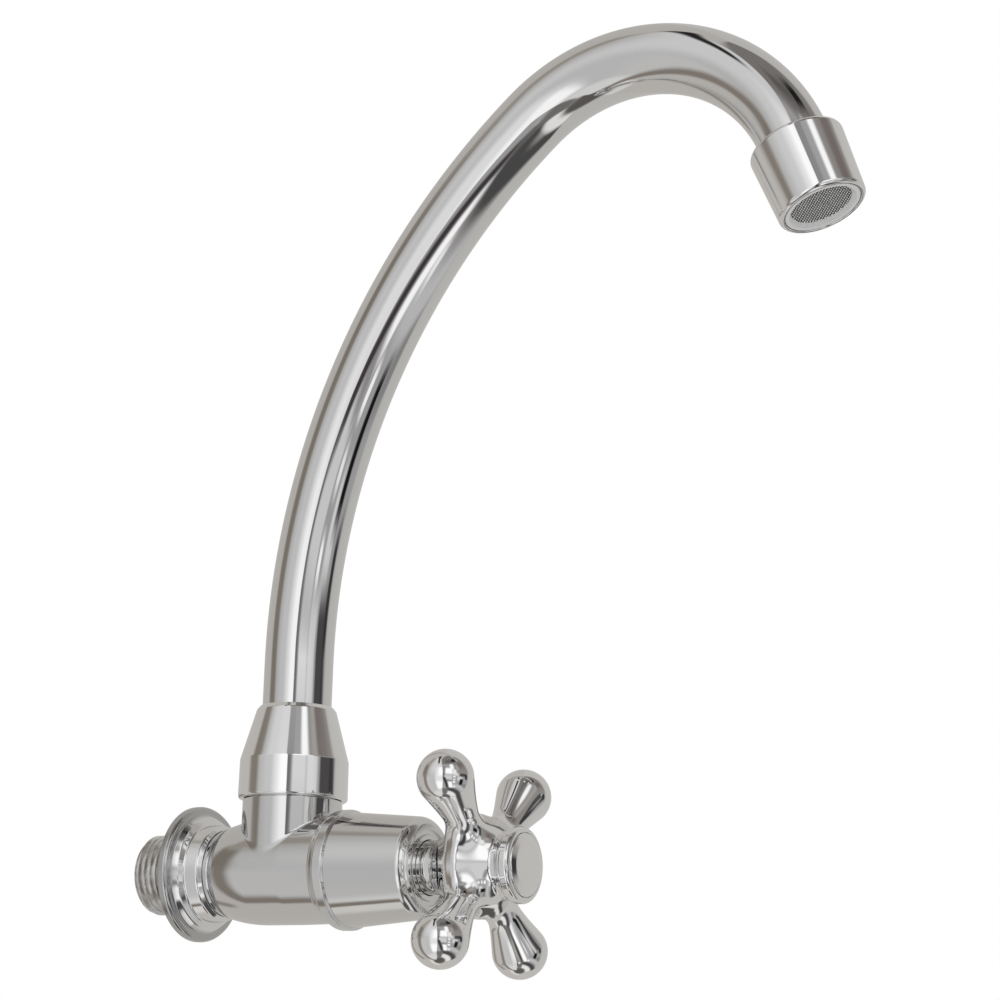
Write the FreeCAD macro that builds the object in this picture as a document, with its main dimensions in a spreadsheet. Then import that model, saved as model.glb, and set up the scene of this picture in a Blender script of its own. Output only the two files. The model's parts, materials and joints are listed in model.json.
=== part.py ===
"""Wall-mounted gooseneck tap with a cross handle: a chromed brass body, a quarter-turn
ceramic headwork, a swivelling spout and an aerator, each piece a solid of its own.

Frame: +Z up, the wall is the plane y = 0 and the tap stands out along -Y. The origin lies
on the body's axis, in the plane of the wall flange's back face. Lengths are millimetres.

Three local frames are used. Pieces on the body's axis are turned about their local Z, which
is laid along -Y, so a station is a distance from the wall. Pieces at the spout's foot are
turned about a vertical axis through the tee, so a station is a height above the body's axis.
Pieces at the outlet are turned about the outlet's own axis, with stations up from its face.
"""
import FreeCAD, Part
import Sketcher
import math
import os
from types import SimpleNamespace

Vector = FreeCAD.Vector

SIZES = {
    # inlet shank and wall flange
    "inlet_thread_r": 10.47,
    "inlet_thread_len": 8.6,
    "inlet_len": 13.4,
    "shank_r": 11.1,
    "inlet_bore_r": 6.5,
    "flange_r": 17.6,
    "flange_rim": 2.6,
    "flange_neck_r": 12.7,
    "flange_len": 9.5,
    # body casting along its axis
    "barrel_dome_r": 13.5,
    "barrel_dome_at": 16.95,
    "barrel_mid_r": 13.6,
    "barrel_mid_at": 34.0,
    "barrel_front_r": 13.45,
    "bead_r": 15.25,
    "bead_len": 5.2,
    "seam_r": 14.56,
    "seam_at": 49.1,
    "spigot_r": 13.0,
    "spigot_len": 3.5,
    "seat_at": 21.6,
    "chamber_r": 9.0,
    "chamber_len": 16.2,
    "headwork_thread_r": 10.45,
    # tee and spout foot, heights above the body's axis
    "tee_at": 29.25,
    "tee_r": 12.9,
    "tee_top": 18.2,
    "tee_spigot_r": 12.0,
    "tee_spigot_len": 10.8,
    "port_r": 5.5,
    "socket_r": 10.2,
    "socket_floor": 15.0,
    # spout nut
    "nut_r": 14.1,
    "nut_straight": 10.3,
    "nut_cone_top": 41.6,
    "nut_cone_r": 10.4,
    "nut_top": 42.7,
    "nut_seat_at": 32.1,
    # spout tube and its foot
    "tube_r": 9.0,
    "tube_wall": 1.0,
    "tube_foot": 24.9,
    "rise_top": 54.2,
    "lean_bend_r": 182.0,
    "lean_turn": 50.6,
    "top_bend_r": 47.6,
    "outlet_tilt": 22.5,
    "outlet_run": 20.4,
    "foot_flange_r": 11.6,
    "foot_flange_len": 2.0,
    "foot_bore_r": 7.0,
    "o_ring_section_r": 0.79,
    "foot_groove_low": 18.0,
    "foot_groove_high": 22.0,
    # outlet and aerator, stations up from the outlet's face
    "outlet_thread_r": 10.75,
    "outlet_thread_low": 6.2,
    "outlet_thread_top": 18.5,
    "shell_top_r": 12.2,
    "shell_low_r": 11.25,
    "shell_len": 19.3,
    "lip_r": 9.95,
    "lip_thick": 1.3,
    "cage_bore_r": 7.85,
    "cage_len": 3.6,
    "screen_bar": 0.3,
    "screen_pitch": 1.15,
    "former_thick": 1.4,
    # headwork
    "foot_tube_r": 8.7,
    "disc_bore_r": 7.65,
    "seal_len": 2.4,
    "disc_thick": 2.6,
    "window_low": 28.0,
    "window_len": 5.8,
    "window_wide": 9.0,
    "dog_thick": 3.6,
    "dog_foot_len": 3.2,
    "washer_thick": 0.6,
    "spindle_r": 5.5,
    "spindle_neck_r": 4.4,
    "gland_groove_low": 44.0,
    "gland_groove_high": 49.0,
    "gland_ring_section_r": 0.6,
    "collar_thick": 1.5,
    "collar_r": 12.4,
    "gasket_thick": 0.6,
    "hex_r": 9.8,
    "hex_len": 6.0,
    "neck_r": 7.0,
    "neck_end": 66.0,
    "bearing_end": 60.2,
    "clip_thick": 0.9,
    "clip_r": 6.2,
    "spline_tip_r": 4.0,
    "spline_root_r": 3.55,
    "spline_end": 82.0,
    # bonnet shroud
    "shroud_nose_r": 12.62,
    "shroud_nose_round": 2.2,
    "shroud_face_at": 71.6,
    "shroud_face_thick": 2.8,
    "shroud_bore_r": 11.4,
    "shroud_hole_r": 7.25,
    # cross handle
    "handle_back_at": 70.4,
    "handle_neck_r": 6.8,
    "flare_start": 75.4,
    "hub_r": 13.1,
    "hub_at": 86.2,
    "waist_r": 8.6,
    "waist_at": 93.8,
    "boss_r": 9.45,
    "handle_face_at": 99.0,
    "arm_at": 87.0,
    "ball_at": 27.4,
    "ball_r": 7.05,
    "arm_taper": 13.1,
    "arm_neck_at": 17.6,
    "arm_blend": 2.6,
    "web_thick": 2.4,
    "screw_r": 2.45,
    "screw_len": 11.0,
    "screw_head_r": 4.25,
    "screw_head_len": 2.6,
    "plug_r": 5.5,
    "plug_len": 3.6,
    "button_r": 7.83,
    "button_seat": 1.5,
    "button_crown": 0.9,
    # running and assembly clearances
    "run_gap": 0.06,
    "slip_gap": 0.1,
    "film_gap": 0.05,
}
COUNTS = {"arms": 4, "spline_teeth": 20, "screen_rows": 14}
HANDLE_TURN = 45.0                # the arms stand diagonally, the splines don't

doc = FreeCAD.newDocument("WallTap")


class Size:
    """A length together with the spreadsheet formula that gives it."""

    def __init__(self, value, formula):
        self.value = float(value)
        self.formula = formula

    def __add__(self, other):
        other = as_size(other)
        return Size(self.value + other.value, f"({self.formula} + {other.formula})")

    def __radd__(self, other):
        return as_size(other) + self

    def __sub__(self, other):
        other = as_size(other)
        return Size(self.value - other.value, f"({self.formula} - {other.formula})")

    def __rsub__(self, other):
        return as_size(other) - self

    def __mul__(self, other):
        other = as_size(other)
        return Size(self.value * other.value, f"({self.formula} * {other.formula})")

    def __rmul__(self, other):
        return as_size(other) * self

    def __truediv__(self, other):
        other = as_size(other)
        return Size(self.value / other.value, f"({self.formula} / {other.formula})")

    def __neg__(self):
        return Size(-self.value, f"(-1 * {self.formula})")


def as_size(number):
    return number if isinstance(number, Size) else Size(number, repr(number))


def sine(angle):
    return Size(math.sin(math.radians(angle.value)), f"sin({angle.formula} * 1 deg)")


def cosine(angle):
    return Size(math.cos(math.radians(angle.value)), f"cos({angle.formula} * 1 deg)")


def tangent(angle):
    return sine(angle) / cosine(angle)


def make_sheet():
    """Write the driving sizes to the sheet and give them back by name."""
    sheet = doc.addObject("Spreadsheet::Sheet", "Sizes")
    named = {}
    for row, (alias, value) in enumerate(SIZES.items(), start=1):
        sheet.set(f"A{row}", alias)
        sheet.set(f"B{row}", str(value))
        sheet.setAlias(f"B{row}", alias)
        named[alias] = Size(value, f"Sizes.{alias}")
    doc.recompute()
    return SimpleNamespace(**named)


S = make_sheet()


def bind(thing, prop, size):
    """Drive one property of an object or sketch by the sheet."""
    thing.setExpression(prop, as_size(size).formula)


def new_body(label):
    body = doc.addObject("PartDesign::Body", label)
    body.Label = label
    return body


def origin_plane(body, role):
    return [item for item in body.Origin.OriginFeatures if item.Role == role][0]


def new_sketch(body, name, plane="XZ_Plane", height=None, turned=0.0):
    """A sketch on one of the body's own planes, turned and raised on the plane's normal."""
    sketch = body.newObject("Sketcher::SketchObject", name)
    sketch.AttachmentSupport = [(origin_plane(body, plane), "")]
    sketch.MapMode = "FlatFace"
    sketch.AttachmentOffset = FreeCAD.Placement(Vector(), FreeCAD.Rotation(Vector(0, 0, 1), turned))
    if height is not None:
        bind(sketch, "AttachmentOffset.Base.z", height)
        sketch.recompute()
    return sketch


def hold_point(sketch, geometry, end, x, y):
    """Pin a sketch point to two sizes; a plain 0 holds it on that axis."""
    for value, axis, kind in ((x, -2, "DistanceX"), (y, -1, "DistanceY")):
        if not isinstance(value, Size):
            sketch.addConstraint(Sketcher.Constraint("PointOnObject", geometry, end, axis))
            continue
        row = sketch.addConstraint(
            Sketcher.Constraint(kind, -1, 1, geometry, end, value.value))
        bind(sketch, f"Constraints[{row}]", value)


def bound_radius(sketch, geometry, size):
    row = sketch.addConstraint(Sketcher.Constraint("Radius", geometry, size.value))
    bind(sketch, f"Constraints[{row}]", size)


def spot(corner):
    return Vector(as_size(corner[0]).value, as_size(corner[1]).value, 0)


def round_corner(before, here, after, radius):
    """The two ends and the middle of the arc that rounds a corner."""
    first = (before - here).normalize()
    second = (after - here).normalize()
    half = first.getAngle(second) / 2
    reach = radius / math.tan(half)
    middle = (first + second).normalize() * (radius / math.sin(half) - radius)
    return here + first * reach, here + middle, here + second * reach


def outline(body, name, corners, plane="XZ_Plane", height=None):
    """A closed outline of straight runs; a corner's third value is its rounding radius."""
    sketch = new_sketch(body, name, plane, height)
    count = len(corners)
    starts, ends, arcs = [], [], {}
    for index, corner in enumerate(corners):
        here = spot(corner)
        if len(corner) < 3:
            starts.append(here)
            ends.append(here)
            continue
        low, middle, high = round_corner(
            spot(corners[index - 1]), here, spot(corners[(index + 1) % count]), corner[2].value)
        ends.append(low)
        starts.append(high)
        arcs[index] = (low, middle, high)
    lines = [sketch.addGeometry(Part.LineSegment(starts[index], ends[(index + 1) % count]), False)
             for index in range(count)]
    for index, corner in enumerate(corners):
        before, after = lines[index - 1], lines[index]
        if index not in arcs:
            sketch.addConstraint(Sketcher.Constraint("Coincident", before, 2, after, 1))
            hold_point(sketch, after, 1, corner[0], corner[1])
            continue
        low, middle, high = arcs[index]
        leftward = (middle - low).cross(high - middle).z > 0
        arc = sketch.addGeometry(Part.Arc(*((low, middle, high) if leftward else (high, middle, low))), False)
        first = 1 if leftward else 2
        tip = sketch.addGeometry(Part.Point(spot(corner)), True)
        sketch.addConstraint(Sketcher.Constraint("Tangent", before, 2, arc, first))
        sketch.addConstraint(Sketcher.Constraint("Tangent", after, 1, arc, 3 - first))
        sketch.addConstraint(Sketcher.Constraint("PointOnObject", tip, 1, before))
        sketch.addConstraint(Sketcher.Constraint("PointOnObject", tip, 1, after))
        hold_point(sketch, tip, 1, corner[0], corner[1])
        bound_radius(sketch, arc, corner[2])
    return sketch


def turn(body, name, corners, kind="PartDesign::Revolution"):
    """Revolve an outline of (radius, station) corners about the body's local Z."""
    sketch = outline(body, name + "Outline", corners)
    feature = body.newObject(kind, name)
    feature.Profile = sketch
    feature.ReferenceAxis = (sketch, ["V_Axis"])
    feature.Angle = 360
    doc.recompute()
    return feature


def turn_across(body, name, corners, station, kind="PartDesign::Revolution"):
    """Revolve an outline of (height, radius) corners about a line at a station, along local Y."""
    placed = [(corner[0], station + corner[1]) if isinstance(corner[1], Size) else (corner[0], station)
              for corner in corners]
    sketch = outline(body, name + "Outline", placed, "YZ_Plane")
    line = sketch.addGeometry(
        Part.LineSegment(Vector(0, station.value, 0), Vector(5, station.value, 0)), True)
    sketch.addConstraint(Sketcher.Constraint("Horizontal", line))
    hold_point(sketch, line, 1, 0, station)
    feature = body.newObject(kind, name)
    feature.Profile = sketch
    feature.ReferenceAxis = (sketch, ["Axis0"])
    feature.Angle = 360
    doc.recompute()
    return feature


def ring_cut(body, name, low_r, high_r, station, width):
    """A square groove turned about the body's local Z."""
    low, high = station - width / 2, station + width / 2
    return turn(body, name, [(low_r, low), (high_r, low), (high_r, high), (low_r, high)],
                "PartDesign::Groove")


def box_feature(body, kind, name, sides, corner):
    """A box with sides (x, y, z) whose low corner lies at the given point."""
    box = body.newObject(f"PartDesign::{kind}Box", name)
    box.AttachmentSupport = [(origin_plane(body, "XY_Plane"), "")]
    box.MapMode = "FlatFace"
    for prop, side in zip(("Length", "Width", "Height"), sides):
        bind(box, prop, side)
    for letter, place in zip("xyz", corner):
        bind(box, f"AttachmentOffset.Base.{letter}", place)
    doc.recompute()
    return box


def star_sketch(body, name, root_r, tip_r, teeth, height, turned=0.0):
    """A star of equal flanks between a root circle and a tip circle."""
    sketch = new_sketch(body, name, "XY_Plane", height, turned)
    circles = []
    for size in (root_r, tip_r):
        circle = sketch.addGeometry(Part.Circle(Vector(), Vector(0, 0, 1), size.value), True)
        sketch.addConstraint(Sketcher.Constraint("Coincident", circle, 3, -1, 1))
        bound_radius(sketch, circle, size)
        circles.append(circle)
    points = []
    for index in range(2 * teeth):
        radius = (root_r, tip_r)[index % 2].value
        angle = math.pi * index / teeth
        points.append(Vector(radius * math.cos(angle), radius * math.sin(angle), 0))
    lines = [sketch.addGeometry(Part.LineSegment(points[index], points[(index + 1) % len(points)]), False)
             for index in range(len(points))]
    for index, line in enumerate(lines):
        sketch.addConstraint(Sketcher.Constraint("Coincident", lines[index - 1], 2, line, 1))
        sketch.addConstraint(Sketcher.Constraint("PointOnObject", line, 1, circles[index % 2]))
        if index:
            sketch.addConstraint(Sketcher.Constraint("Equal", lines[0], line))
    sketch.addConstraint(Sketcher.Constraint("PointOnObject", lines[0], 1, -1))
    return sketch


def extrude(body, name, sketch, length, kind="PartDesign::Pad"):
    """Pad or pocket a sketch towards local +Z."""
    feature = body.newObject(kind, name)
    feature.Profile = sketch
    bind(feature, "Length", length)
    feature.Reversed = kind == "PartDesign::Pocket"
    doc.recompute()
    return feature


def polar(body, features, count, angle=360.0):
    """Repeat features about the body's local Z."""
    pattern = body.newObject("PartDesign::PolarPattern", features[-1].Name + "Pattern")
    pattern.Originals = features
    pattern.Axis = (origin_plane(body, "Z_Axis"), [""])
    pattern.Angle = angle
    pattern.Occurrences = count
    body.Tip = pattern
    doc.recompute()
    return pattern


def edges_where(shape, test):
    """Names of the edges that a test accepts."""
    return [f"Edge{number}" for number, edge in enumerate(shape.Edges, start=1) if test(edge)]


def lay_along_body(body, turned=0.0):
    """Put local Z along -Y, out of the wall, after a turn about that axis."""
    spin = FreeCAD.Rotation(Vector(0, 0, 1), turned)
    body.Placement = FreeCAD.Placement(Vector(), FreeCAD.Rotation(Vector(1, 0, 0), 90) * spin)


def stand_on_tee(piece):
    """Put local Z on the spout's swivel axis."""
    bind(piece, "Placement.Base.y", -S.tee_at)


# Derived sizes of the gooseneck: two bends between a straight rise and a straight outlet
last_heading = 180 - S.outlet_tilt
first_bend_out = S.lean_bend_r * (1 - cosine(S.lean_turn))
first_bend_up = S.lean_bend_r * sine(S.lean_turn)
second_bend_out = S.top_bend_r * (cosine(S.lean_turn) + cosine(S.outlet_tilt))
second_bend_up = S.top_bend_r * (sine(S.outlet_tilt) - sine(S.lean_turn))
outlet_out = first_bend_out + second_bend_out + S.outlet_run * sine(S.outlet_tilt)
outlet_up = S.rise_top + first_bend_up + second_bend_up - S.outlet_run * cosine(S.outlet_tilt)


def hang_on_outlet(piece):
    """Put local Z on the outlet's axis, pointing back up the tube, from the outlet's face."""
    piece.Placement = FreeCAD.Placement(Vector(), FreeCAD.Rotation(Vector(-1, 0, 0), 1))
    bind(piece, "Placement.Base.y", -S.tee_at - outlet_out)
    bind(piece, "Placement.Base.z", outlet_up)
    piece.setExpression("Placement.Rotation.Angle", f"{S.outlet_tilt.formula} * 1 deg")


def body_casting():
    """Barrel, inlet shank, tee boss and bead, with the waterway bored through them."""
    body = new_body("body_casting")
    back = S.inlet_len
    crest = back + S.seam_at - S.bead_len / 2
    front = back + S.seam_at + S.spigot_len
    turn(body, "Barrel", [
        (0, 0), (S.inlet_thread_r - 0.8, 0), (S.inlet_thread_r, as_size(0.8)),
        (S.inlet_thread_r, S.inlet_thread_len), (S.shank_r, S.inlet_thread_len),
        (S.shank_r, back + S.flange_len),
        (S.barrel_dome_r, back + S.barrel_dome_at, as_size(40.0)),
        (S.barrel_mid_r, back + S.barrel_mid_at, as_size(60.0)),
        (S.barrel_front_r, back + S.seam_at - S.bead_len, as_size(1.2)),
        (S.bead_r, crest - 0.4, as_size(1.1)),
        (S.bead_r, back + S.seam_at - 0.45, as_size(0.35)), (S.seam_r, back + S.seam_at),
        (S.spigot_r, back + S.seam_at), (S.spigot_r, front), (0, front)])
    tee = back + S.tee_at
    turn_across(body, "TeeBoss", [
        (0, 0), (0, S.tee_r), (S.tee_top, S.tee_r), (S.tee_top, S.tee_spigot_r),
        (S.tee_top + S.tee_spigot_len, S.tee_spigot_r), (S.tee_top + S.tee_spigot_len, 0)], tee)
    chamber_end = back + S.seat_at + S.chamber_len
    turn(body, "Waterway", [
        (0, 0), (S.inlet_bore_r, 0), (S.inlet_bore_r, back + S.seat_at), (S.chamber_r, back + S.seat_at),
        (S.chamber_r, chamber_end), (S.headwork_thread_r, chamber_end + 1.2),
        (S.headwork_thread_r, front), (0, front)], "PartDesign::Groove")
    turn_across(body, "SpoutSocket", [
        (0, 0), (0, S.port_r), (S.socket_floor, S.port_r), (S.socket_floor, S.socket_r),
        (S.tee_top + S.tee_spigot_len, S.socket_r), (S.tee_top + S.tee_spigot_len, 0)], tee,
        "PartDesign::Groove")
    lay_along_body(body)
    bind(body, "Placement.Base.y", S.inlet_len)
    return body


def wall_flange():
    """Loose flange that hides the hole in the wall: a rounded rim, a cove and a short neck."""
    body = new_body("wall_flange")
    bore = S.shank_r + S.slip_gap
    cove_at = S.flange_rim + 1.6
    turn(body, "Flange", [
        (bore, 0), (S.flange_r, 0, as_size(0.5)), (S.flange_r, S.flange_rim, as_size(1.3)),
        (S.flange_neck_r, cove_at, as_size(1.6)),
        (S.flange_neck_r, S.flange_len, as_size(1.3)), (bore, S.flange_len)])
    lay_along_body(body)
    return body


def seat_seal():
    """Rubber ring under the fixed disc, pressed on the seat in the casting."""
    body = new_body("seat_seal")
    high = S.seat_at + S.seal_len
    turn(body, "Seal", [(S.inlet_bore_r, S.seat_at), (S.disc_bore_r - S.film_gap, S.seat_at),
                        (S.disc_bore_r - S.film_gap, high), (S.inlet_bore_r, high)])
    lay_along_body(body)
    return body


def cut_ports(body, name, low, thick, reach):
    """Two opposite ports of a quarter circle each, less a land at their edges."""
    land = as_size(0.9)
    rim = reach * sine(as_size(45.0))
    corners = [(land, low), (rim, low), (rim, low + thick), (land, low + thick)]
    sketch = outline(body, name + "Outline", corners)
    port = body.newObject("PartDesign::Groove", name)
    port.Profile = sketch
    port.ReferenceAxis = (sketch, ["V_Axis"])
    port.Angle = 80
    port.Midplane = True
    doc.recompute()
    return polar(body, [port], 2)


def fixed_disc():
    """Lower ceramic disc with two ports, keyed in the foot of the headwork."""
    body = new_body("fixed_disc")
    low = S.seat_at + S.seal_len
    turn(body, "Disc", [(0, low), (S.disc_bore_r - S.film_gap, low),
                        (S.disc_bore_r - S.film_gap, low + S.disc_thick), (0, low + S.disc_thick)])
    cut_ports(body, "Port", low, S.disc_thick, S.disc_bore_r * 1.2)
    lay_along_body(body)
    return body


def moving_disc():
    """Upper ceramic disc: its solid quarters cover the ports until it turns a quarter."""
    body = new_body("moving_disc")
    low = S.seat_at + S.seal_len + S.disc_thick + S.film_gap
    rim = S.disc_bore_r - S.film_gap * 4
    turn(body, "Disc", [(0, low), (rim, low), (rim, low + S.disc_thick), (0, low + S.disc_thick)])
    cut_ports(body, "Port", low, S.disc_thick, S.disc_bore_r * 1.2)
    slot = S.dog_thick + S.film_gap * 2
    box_feature(body, "Subtractive", "DogSlot", (slot, S.disc_bore_r * 4, S.disc_thick),
                (-slot / 2, -S.disc_bore_r * 2, low + S.disc_thick - 1.0))
    lay_along_body(body, 90.0)
    return body


def headwork_body():
    """Brass body of the headwork: foot with two windows, thread, collar, hexagon and neck."""
    body = new_body("headwork_body")
    foot = S.seat_at + 0.8
    thread = S.seat_at + S.chamber_len + 1.4
    front = S.seam_at + S.spigot_len
    collar = front + S.gasket_thick
    hex_low = collar + S.collar_thick
    thread_r = S.headwork_thread_r - S.film_gap
    turn(body, "Foot", [
        (0, foot), (S.foot_tube_r, foot), (S.foot_tube_r, thread - 1.2), (thread_r, thread),
        (thread_r, front - 1.6), (thread_r - 0.7, front - 1.2), (thread_r - 0.7, collar),
        (S.collar_r, collar, as_size(0.3)), (S.collar_r, hex_low), (0, hex_low)])
    hexagon = body.newObject("PartDesign::AdditivePrism", "Hexagon")
    hexagon.AttachmentSupport = [(origin_plane(body, "XY_Plane"), "")]
    hexagon.MapMode = "FlatFace"
    hexagon.Polygon = 6
    bind(hexagon, "Circumradius", S.hex_r)
    bind(hexagon, "Height", S.hex_len)
    bind(hexagon, "AttachmentOffset.Base.z", hex_low)
    doc.recompute()
    turn(body, "Neck", [(0, hex_low), (S.neck_r, hex_low), (S.neck_r, S.neck_end), (0, S.neck_end)])
    shelf = S.seat_at + S.chamber_len + 0.4
    turn(body, "Bore", [
        (0, foot), (S.disc_bore_r, foot), (S.disc_bore_r, shelf), (S.spindle_r + S.run_gap, shelf),
        (S.spindle_r + S.run_gap, S.bearing_end), (S.spindle_neck_r + S.run_gap, S.bearing_end),
        (S.spindle_neck_r + S.run_gap, S.neck_end), (0, S.neck_end)], "PartDesign::Groove")
    box_feature(body, "Subtractive", "Windows", (S.window_wide, S.foot_tube_r * 4, S.window_len),
                (-S.window_wide / 2, -S.foot_tube_r * 2, S.window_low))
    lay_along_body(body)
    return body


def dog_shelf():
    """Station of the headwork's inner shelf, where the thrust washer bears."""
    return S.seat_at + S.chamber_len + 0.4


def thrust_washer():
    """Low-friction washer between the spindle's foot and the shelf in the headwork."""
    body = new_body("thrust_washer")
    high = dog_shelf() - S.film_gap
    low = high - S.washer_thick
    turn(body, "Washer", [(S.spindle_r + S.slip_gap, low), (S.disc_bore_r - S.film_gap, low),
                          (S.disc_bore_r - S.film_gap, high), (S.spindle_r + S.slip_gap, high)])
    lay_along_body(body)
    return body


def spindle():
    """Brass spindle: a flat dog, a foot, two ring grooves, a clip groove, splines and a tapped hole."""
    body = new_body("spindle")
    disc_top = S.seat_at + S.seal_len + S.disc_thick * 2 + S.film_gap
    foot_high = dog_shelf() - S.washer_thick - S.film_gap * 2
    foot_low = foot_high - S.dog_foot_len
    foot_r = S.disc_bore_r - S.run_gap
    clip_at = S.neck_end + S.film_gap + S.clip_thick / 2
    turn(body, "Shaft", [
        (0, foot_low), (foot_r, foot_low), (foot_r, foot_high), (S.spindle_r, foot_high),
        (S.spindle_r, S.bearing_end - 0.3), (S.spindle_neck_r, S.bearing_end - 0.2),
        (S.spindle_neck_r, clip_at + 2.0), (0, clip_at + 2.0)])
    dog_low = disc_top - 0.9
    dog_wide = S.disc_bore_r * 1.6
    box_feature(body, "Additive", "Dog", (dog_wide, S.dog_thick, foot_low - dog_low + 0.5),
                (-dog_wide / 2, -S.dog_thick / 2, dog_low))
    splines = star_sketch(body, "SplineOutline", S.spline_root_r, S.spline_tip_r,
                          COUNTS["spline_teeth"], clip_at + 1.0)
    extrude(body, "Splines", splines, S.spline_end - clip_at - 1.0)
    groove_r = S.spindle_r - S.gland_ring_section_r * 2
    groove_wide = S.gland_ring_section_r * 2 + 0.4
    ring_cut(body, "LowGroove", groove_r, S.spindle_r + 1, S.gland_groove_low, groove_wide)
    ring_cut(body, "HighGroove", groove_r, S.spindle_r + 1, S.gland_groove_high, groove_wide)
    ring_cut(body, "ClipGroove", S.spindle_neck_r - 0.7, S.spindle_neck_r + 1, clip_at,
             S.clip_thick + S.film_gap)
    tap_r = S.screw_r + S.film_gap
    tap_low = S.spline_end - S.screw_len
    turn(body, "TappedHole", [(0, tap_low), (tap_r, tap_low), (tap_r, S.spline_end), (0, S.spline_end)],
         "PartDesign::Groove")
    lay_along_body(body)
    return body


def rubber_rings(label, major, section, stations):
    """Equal rubber rings on one axis, joined in one group node."""
    rings = []
    for number, station in enumerate(stations, start=1):
        ring = doc.addObject("Part::Torus", f"{label}_{number}")
        bind(ring, "Radius1", major)
        bind(ring, "Radius2", section)
        bind(ring, "Placement.Base.z", station)
        rings.append(ring)
    group = doc.addObject("Part::Compound", label)
    group.Label = label
    group.Links = rings
    doc.recompute()
    return group


def spindle_rings():
    """Two rubber rings that seal the spindle in the headwork."""
    section = S.gland_ring_section_r - S.film_gap / 4
    group = rubber_rings("spindle_rings", S.spindle_r - S.gland_ring_section_r, section,
                         (S.gland_groove_low, S.gland_groove_high))
    lay_along_body(group)
    return group


def spindle_clip():
    """Open spring clip in the spindle's groove, just past the end of the headwork's neck."""
    body = new_body("spindle_clip")
    low = S.neck_end + S.film_gap
    inner = S.spindle_neck_r - 0.7 + S.film_gap
    turn(body, "Clip", [(inner, low), (S.clip_r, low), (S.clip_r, low + S.clip_thick),
                        (inner, low + S.clip_thick)])
    gap = inner * 1.2
    box_feature(body, "Subtractive", "Mouth", (gap, S.clip_r * 2, S.clip_thick * 2),
                (-gap / 2, as_size(0.0), low - 0.2))
    lay_along_body(body)
    return body


def gasket():
    """Fibre washer under the headwork's collar."""
    body = new_body("headwork_gasket")
    low = S.seam_at + S.spigot_len
    inner = S.headwork_thread_r
    outer = S.collar_r + 0.2
    turn(body, "Gasket", [(inner, low), (outer, low), (outer, low + S.gasket_thick),
                          (inner, low + S.gasket_thick)])
    lay_along_body(body)
    return body


def bonnet_shroud():
    """Conical cover over the headwork: screwed on the casting's spigot, ringed round its nose."""
    body = new_body("bonnet_shroud")
    face = S.shroud_face_at
    skirt = S.spigot_r + S.slip_gap
    skirt_end = S.seam_at + S.spigot_len + S.gasket_thick + S.collar_thick + 1.0
    groove_low_r = S.shroud_hole_r + 1.0
    groove_high_r = S.shroud_hole_r + 2.2
    turn(body, "Cone", [
        (skirt, S.seam_at), (S.seam_r, S.seam_at), (S.shroud_nose_r, face, S.shroud_nose_round),
        (groove_high_r, face), (groove_high_r, face - 0.6), (groove_low_r, face - 0.6),
        (groove_low_r, face), (S.shroud_hole_r, face),
        (S.shroud_hole_r, face - S.shroud_face_thick), (S.shroud_bore_r, face - S.shroud_face_thick),
        (S.shroud_bore_r, skirt_end), (skirt, skirt_end)])
    lay_along_body(body)
    return body


def cross_handle():
    """Turned hub with four pear-shaped ball arms blended into it, bored for spindle, screw and button."""
    body = new_body("cross_handle")
    back = S.handle_back_at
    face = S.handle_face_at
    turn(body, "Hub", [
        (0, back), (S.handle_neck_r, back), (S.handle_neck_r, S.flare_start, as_size(3.0)),
        (S.hub_r - 0.4, S.hub_at - 3.6, as_size(2.6)), (S.hub_r, S.hub_at, as_size(2.0)),
        (S.waist_r, S.waist_at), (0, S.waist_at)])
    turn(body, "Boss", [
        (0, S.waist_at - 1.0), (S.waist_r, S.waist_at - 1.0), (S.waist_r, S.waist_at + 0.5),
        (S.boss_r, S.waist_at + 0.9), (S.boss_r, face, as_size(1.0)), (0, face)])
    arm = arm_feature(body)
    polar(body, [arm], COUNTS["arms"])
    blend_arms(body)
    bore_handle(body)
    lay_along_body(body, HANDLE_TURN)
    return body


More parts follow.
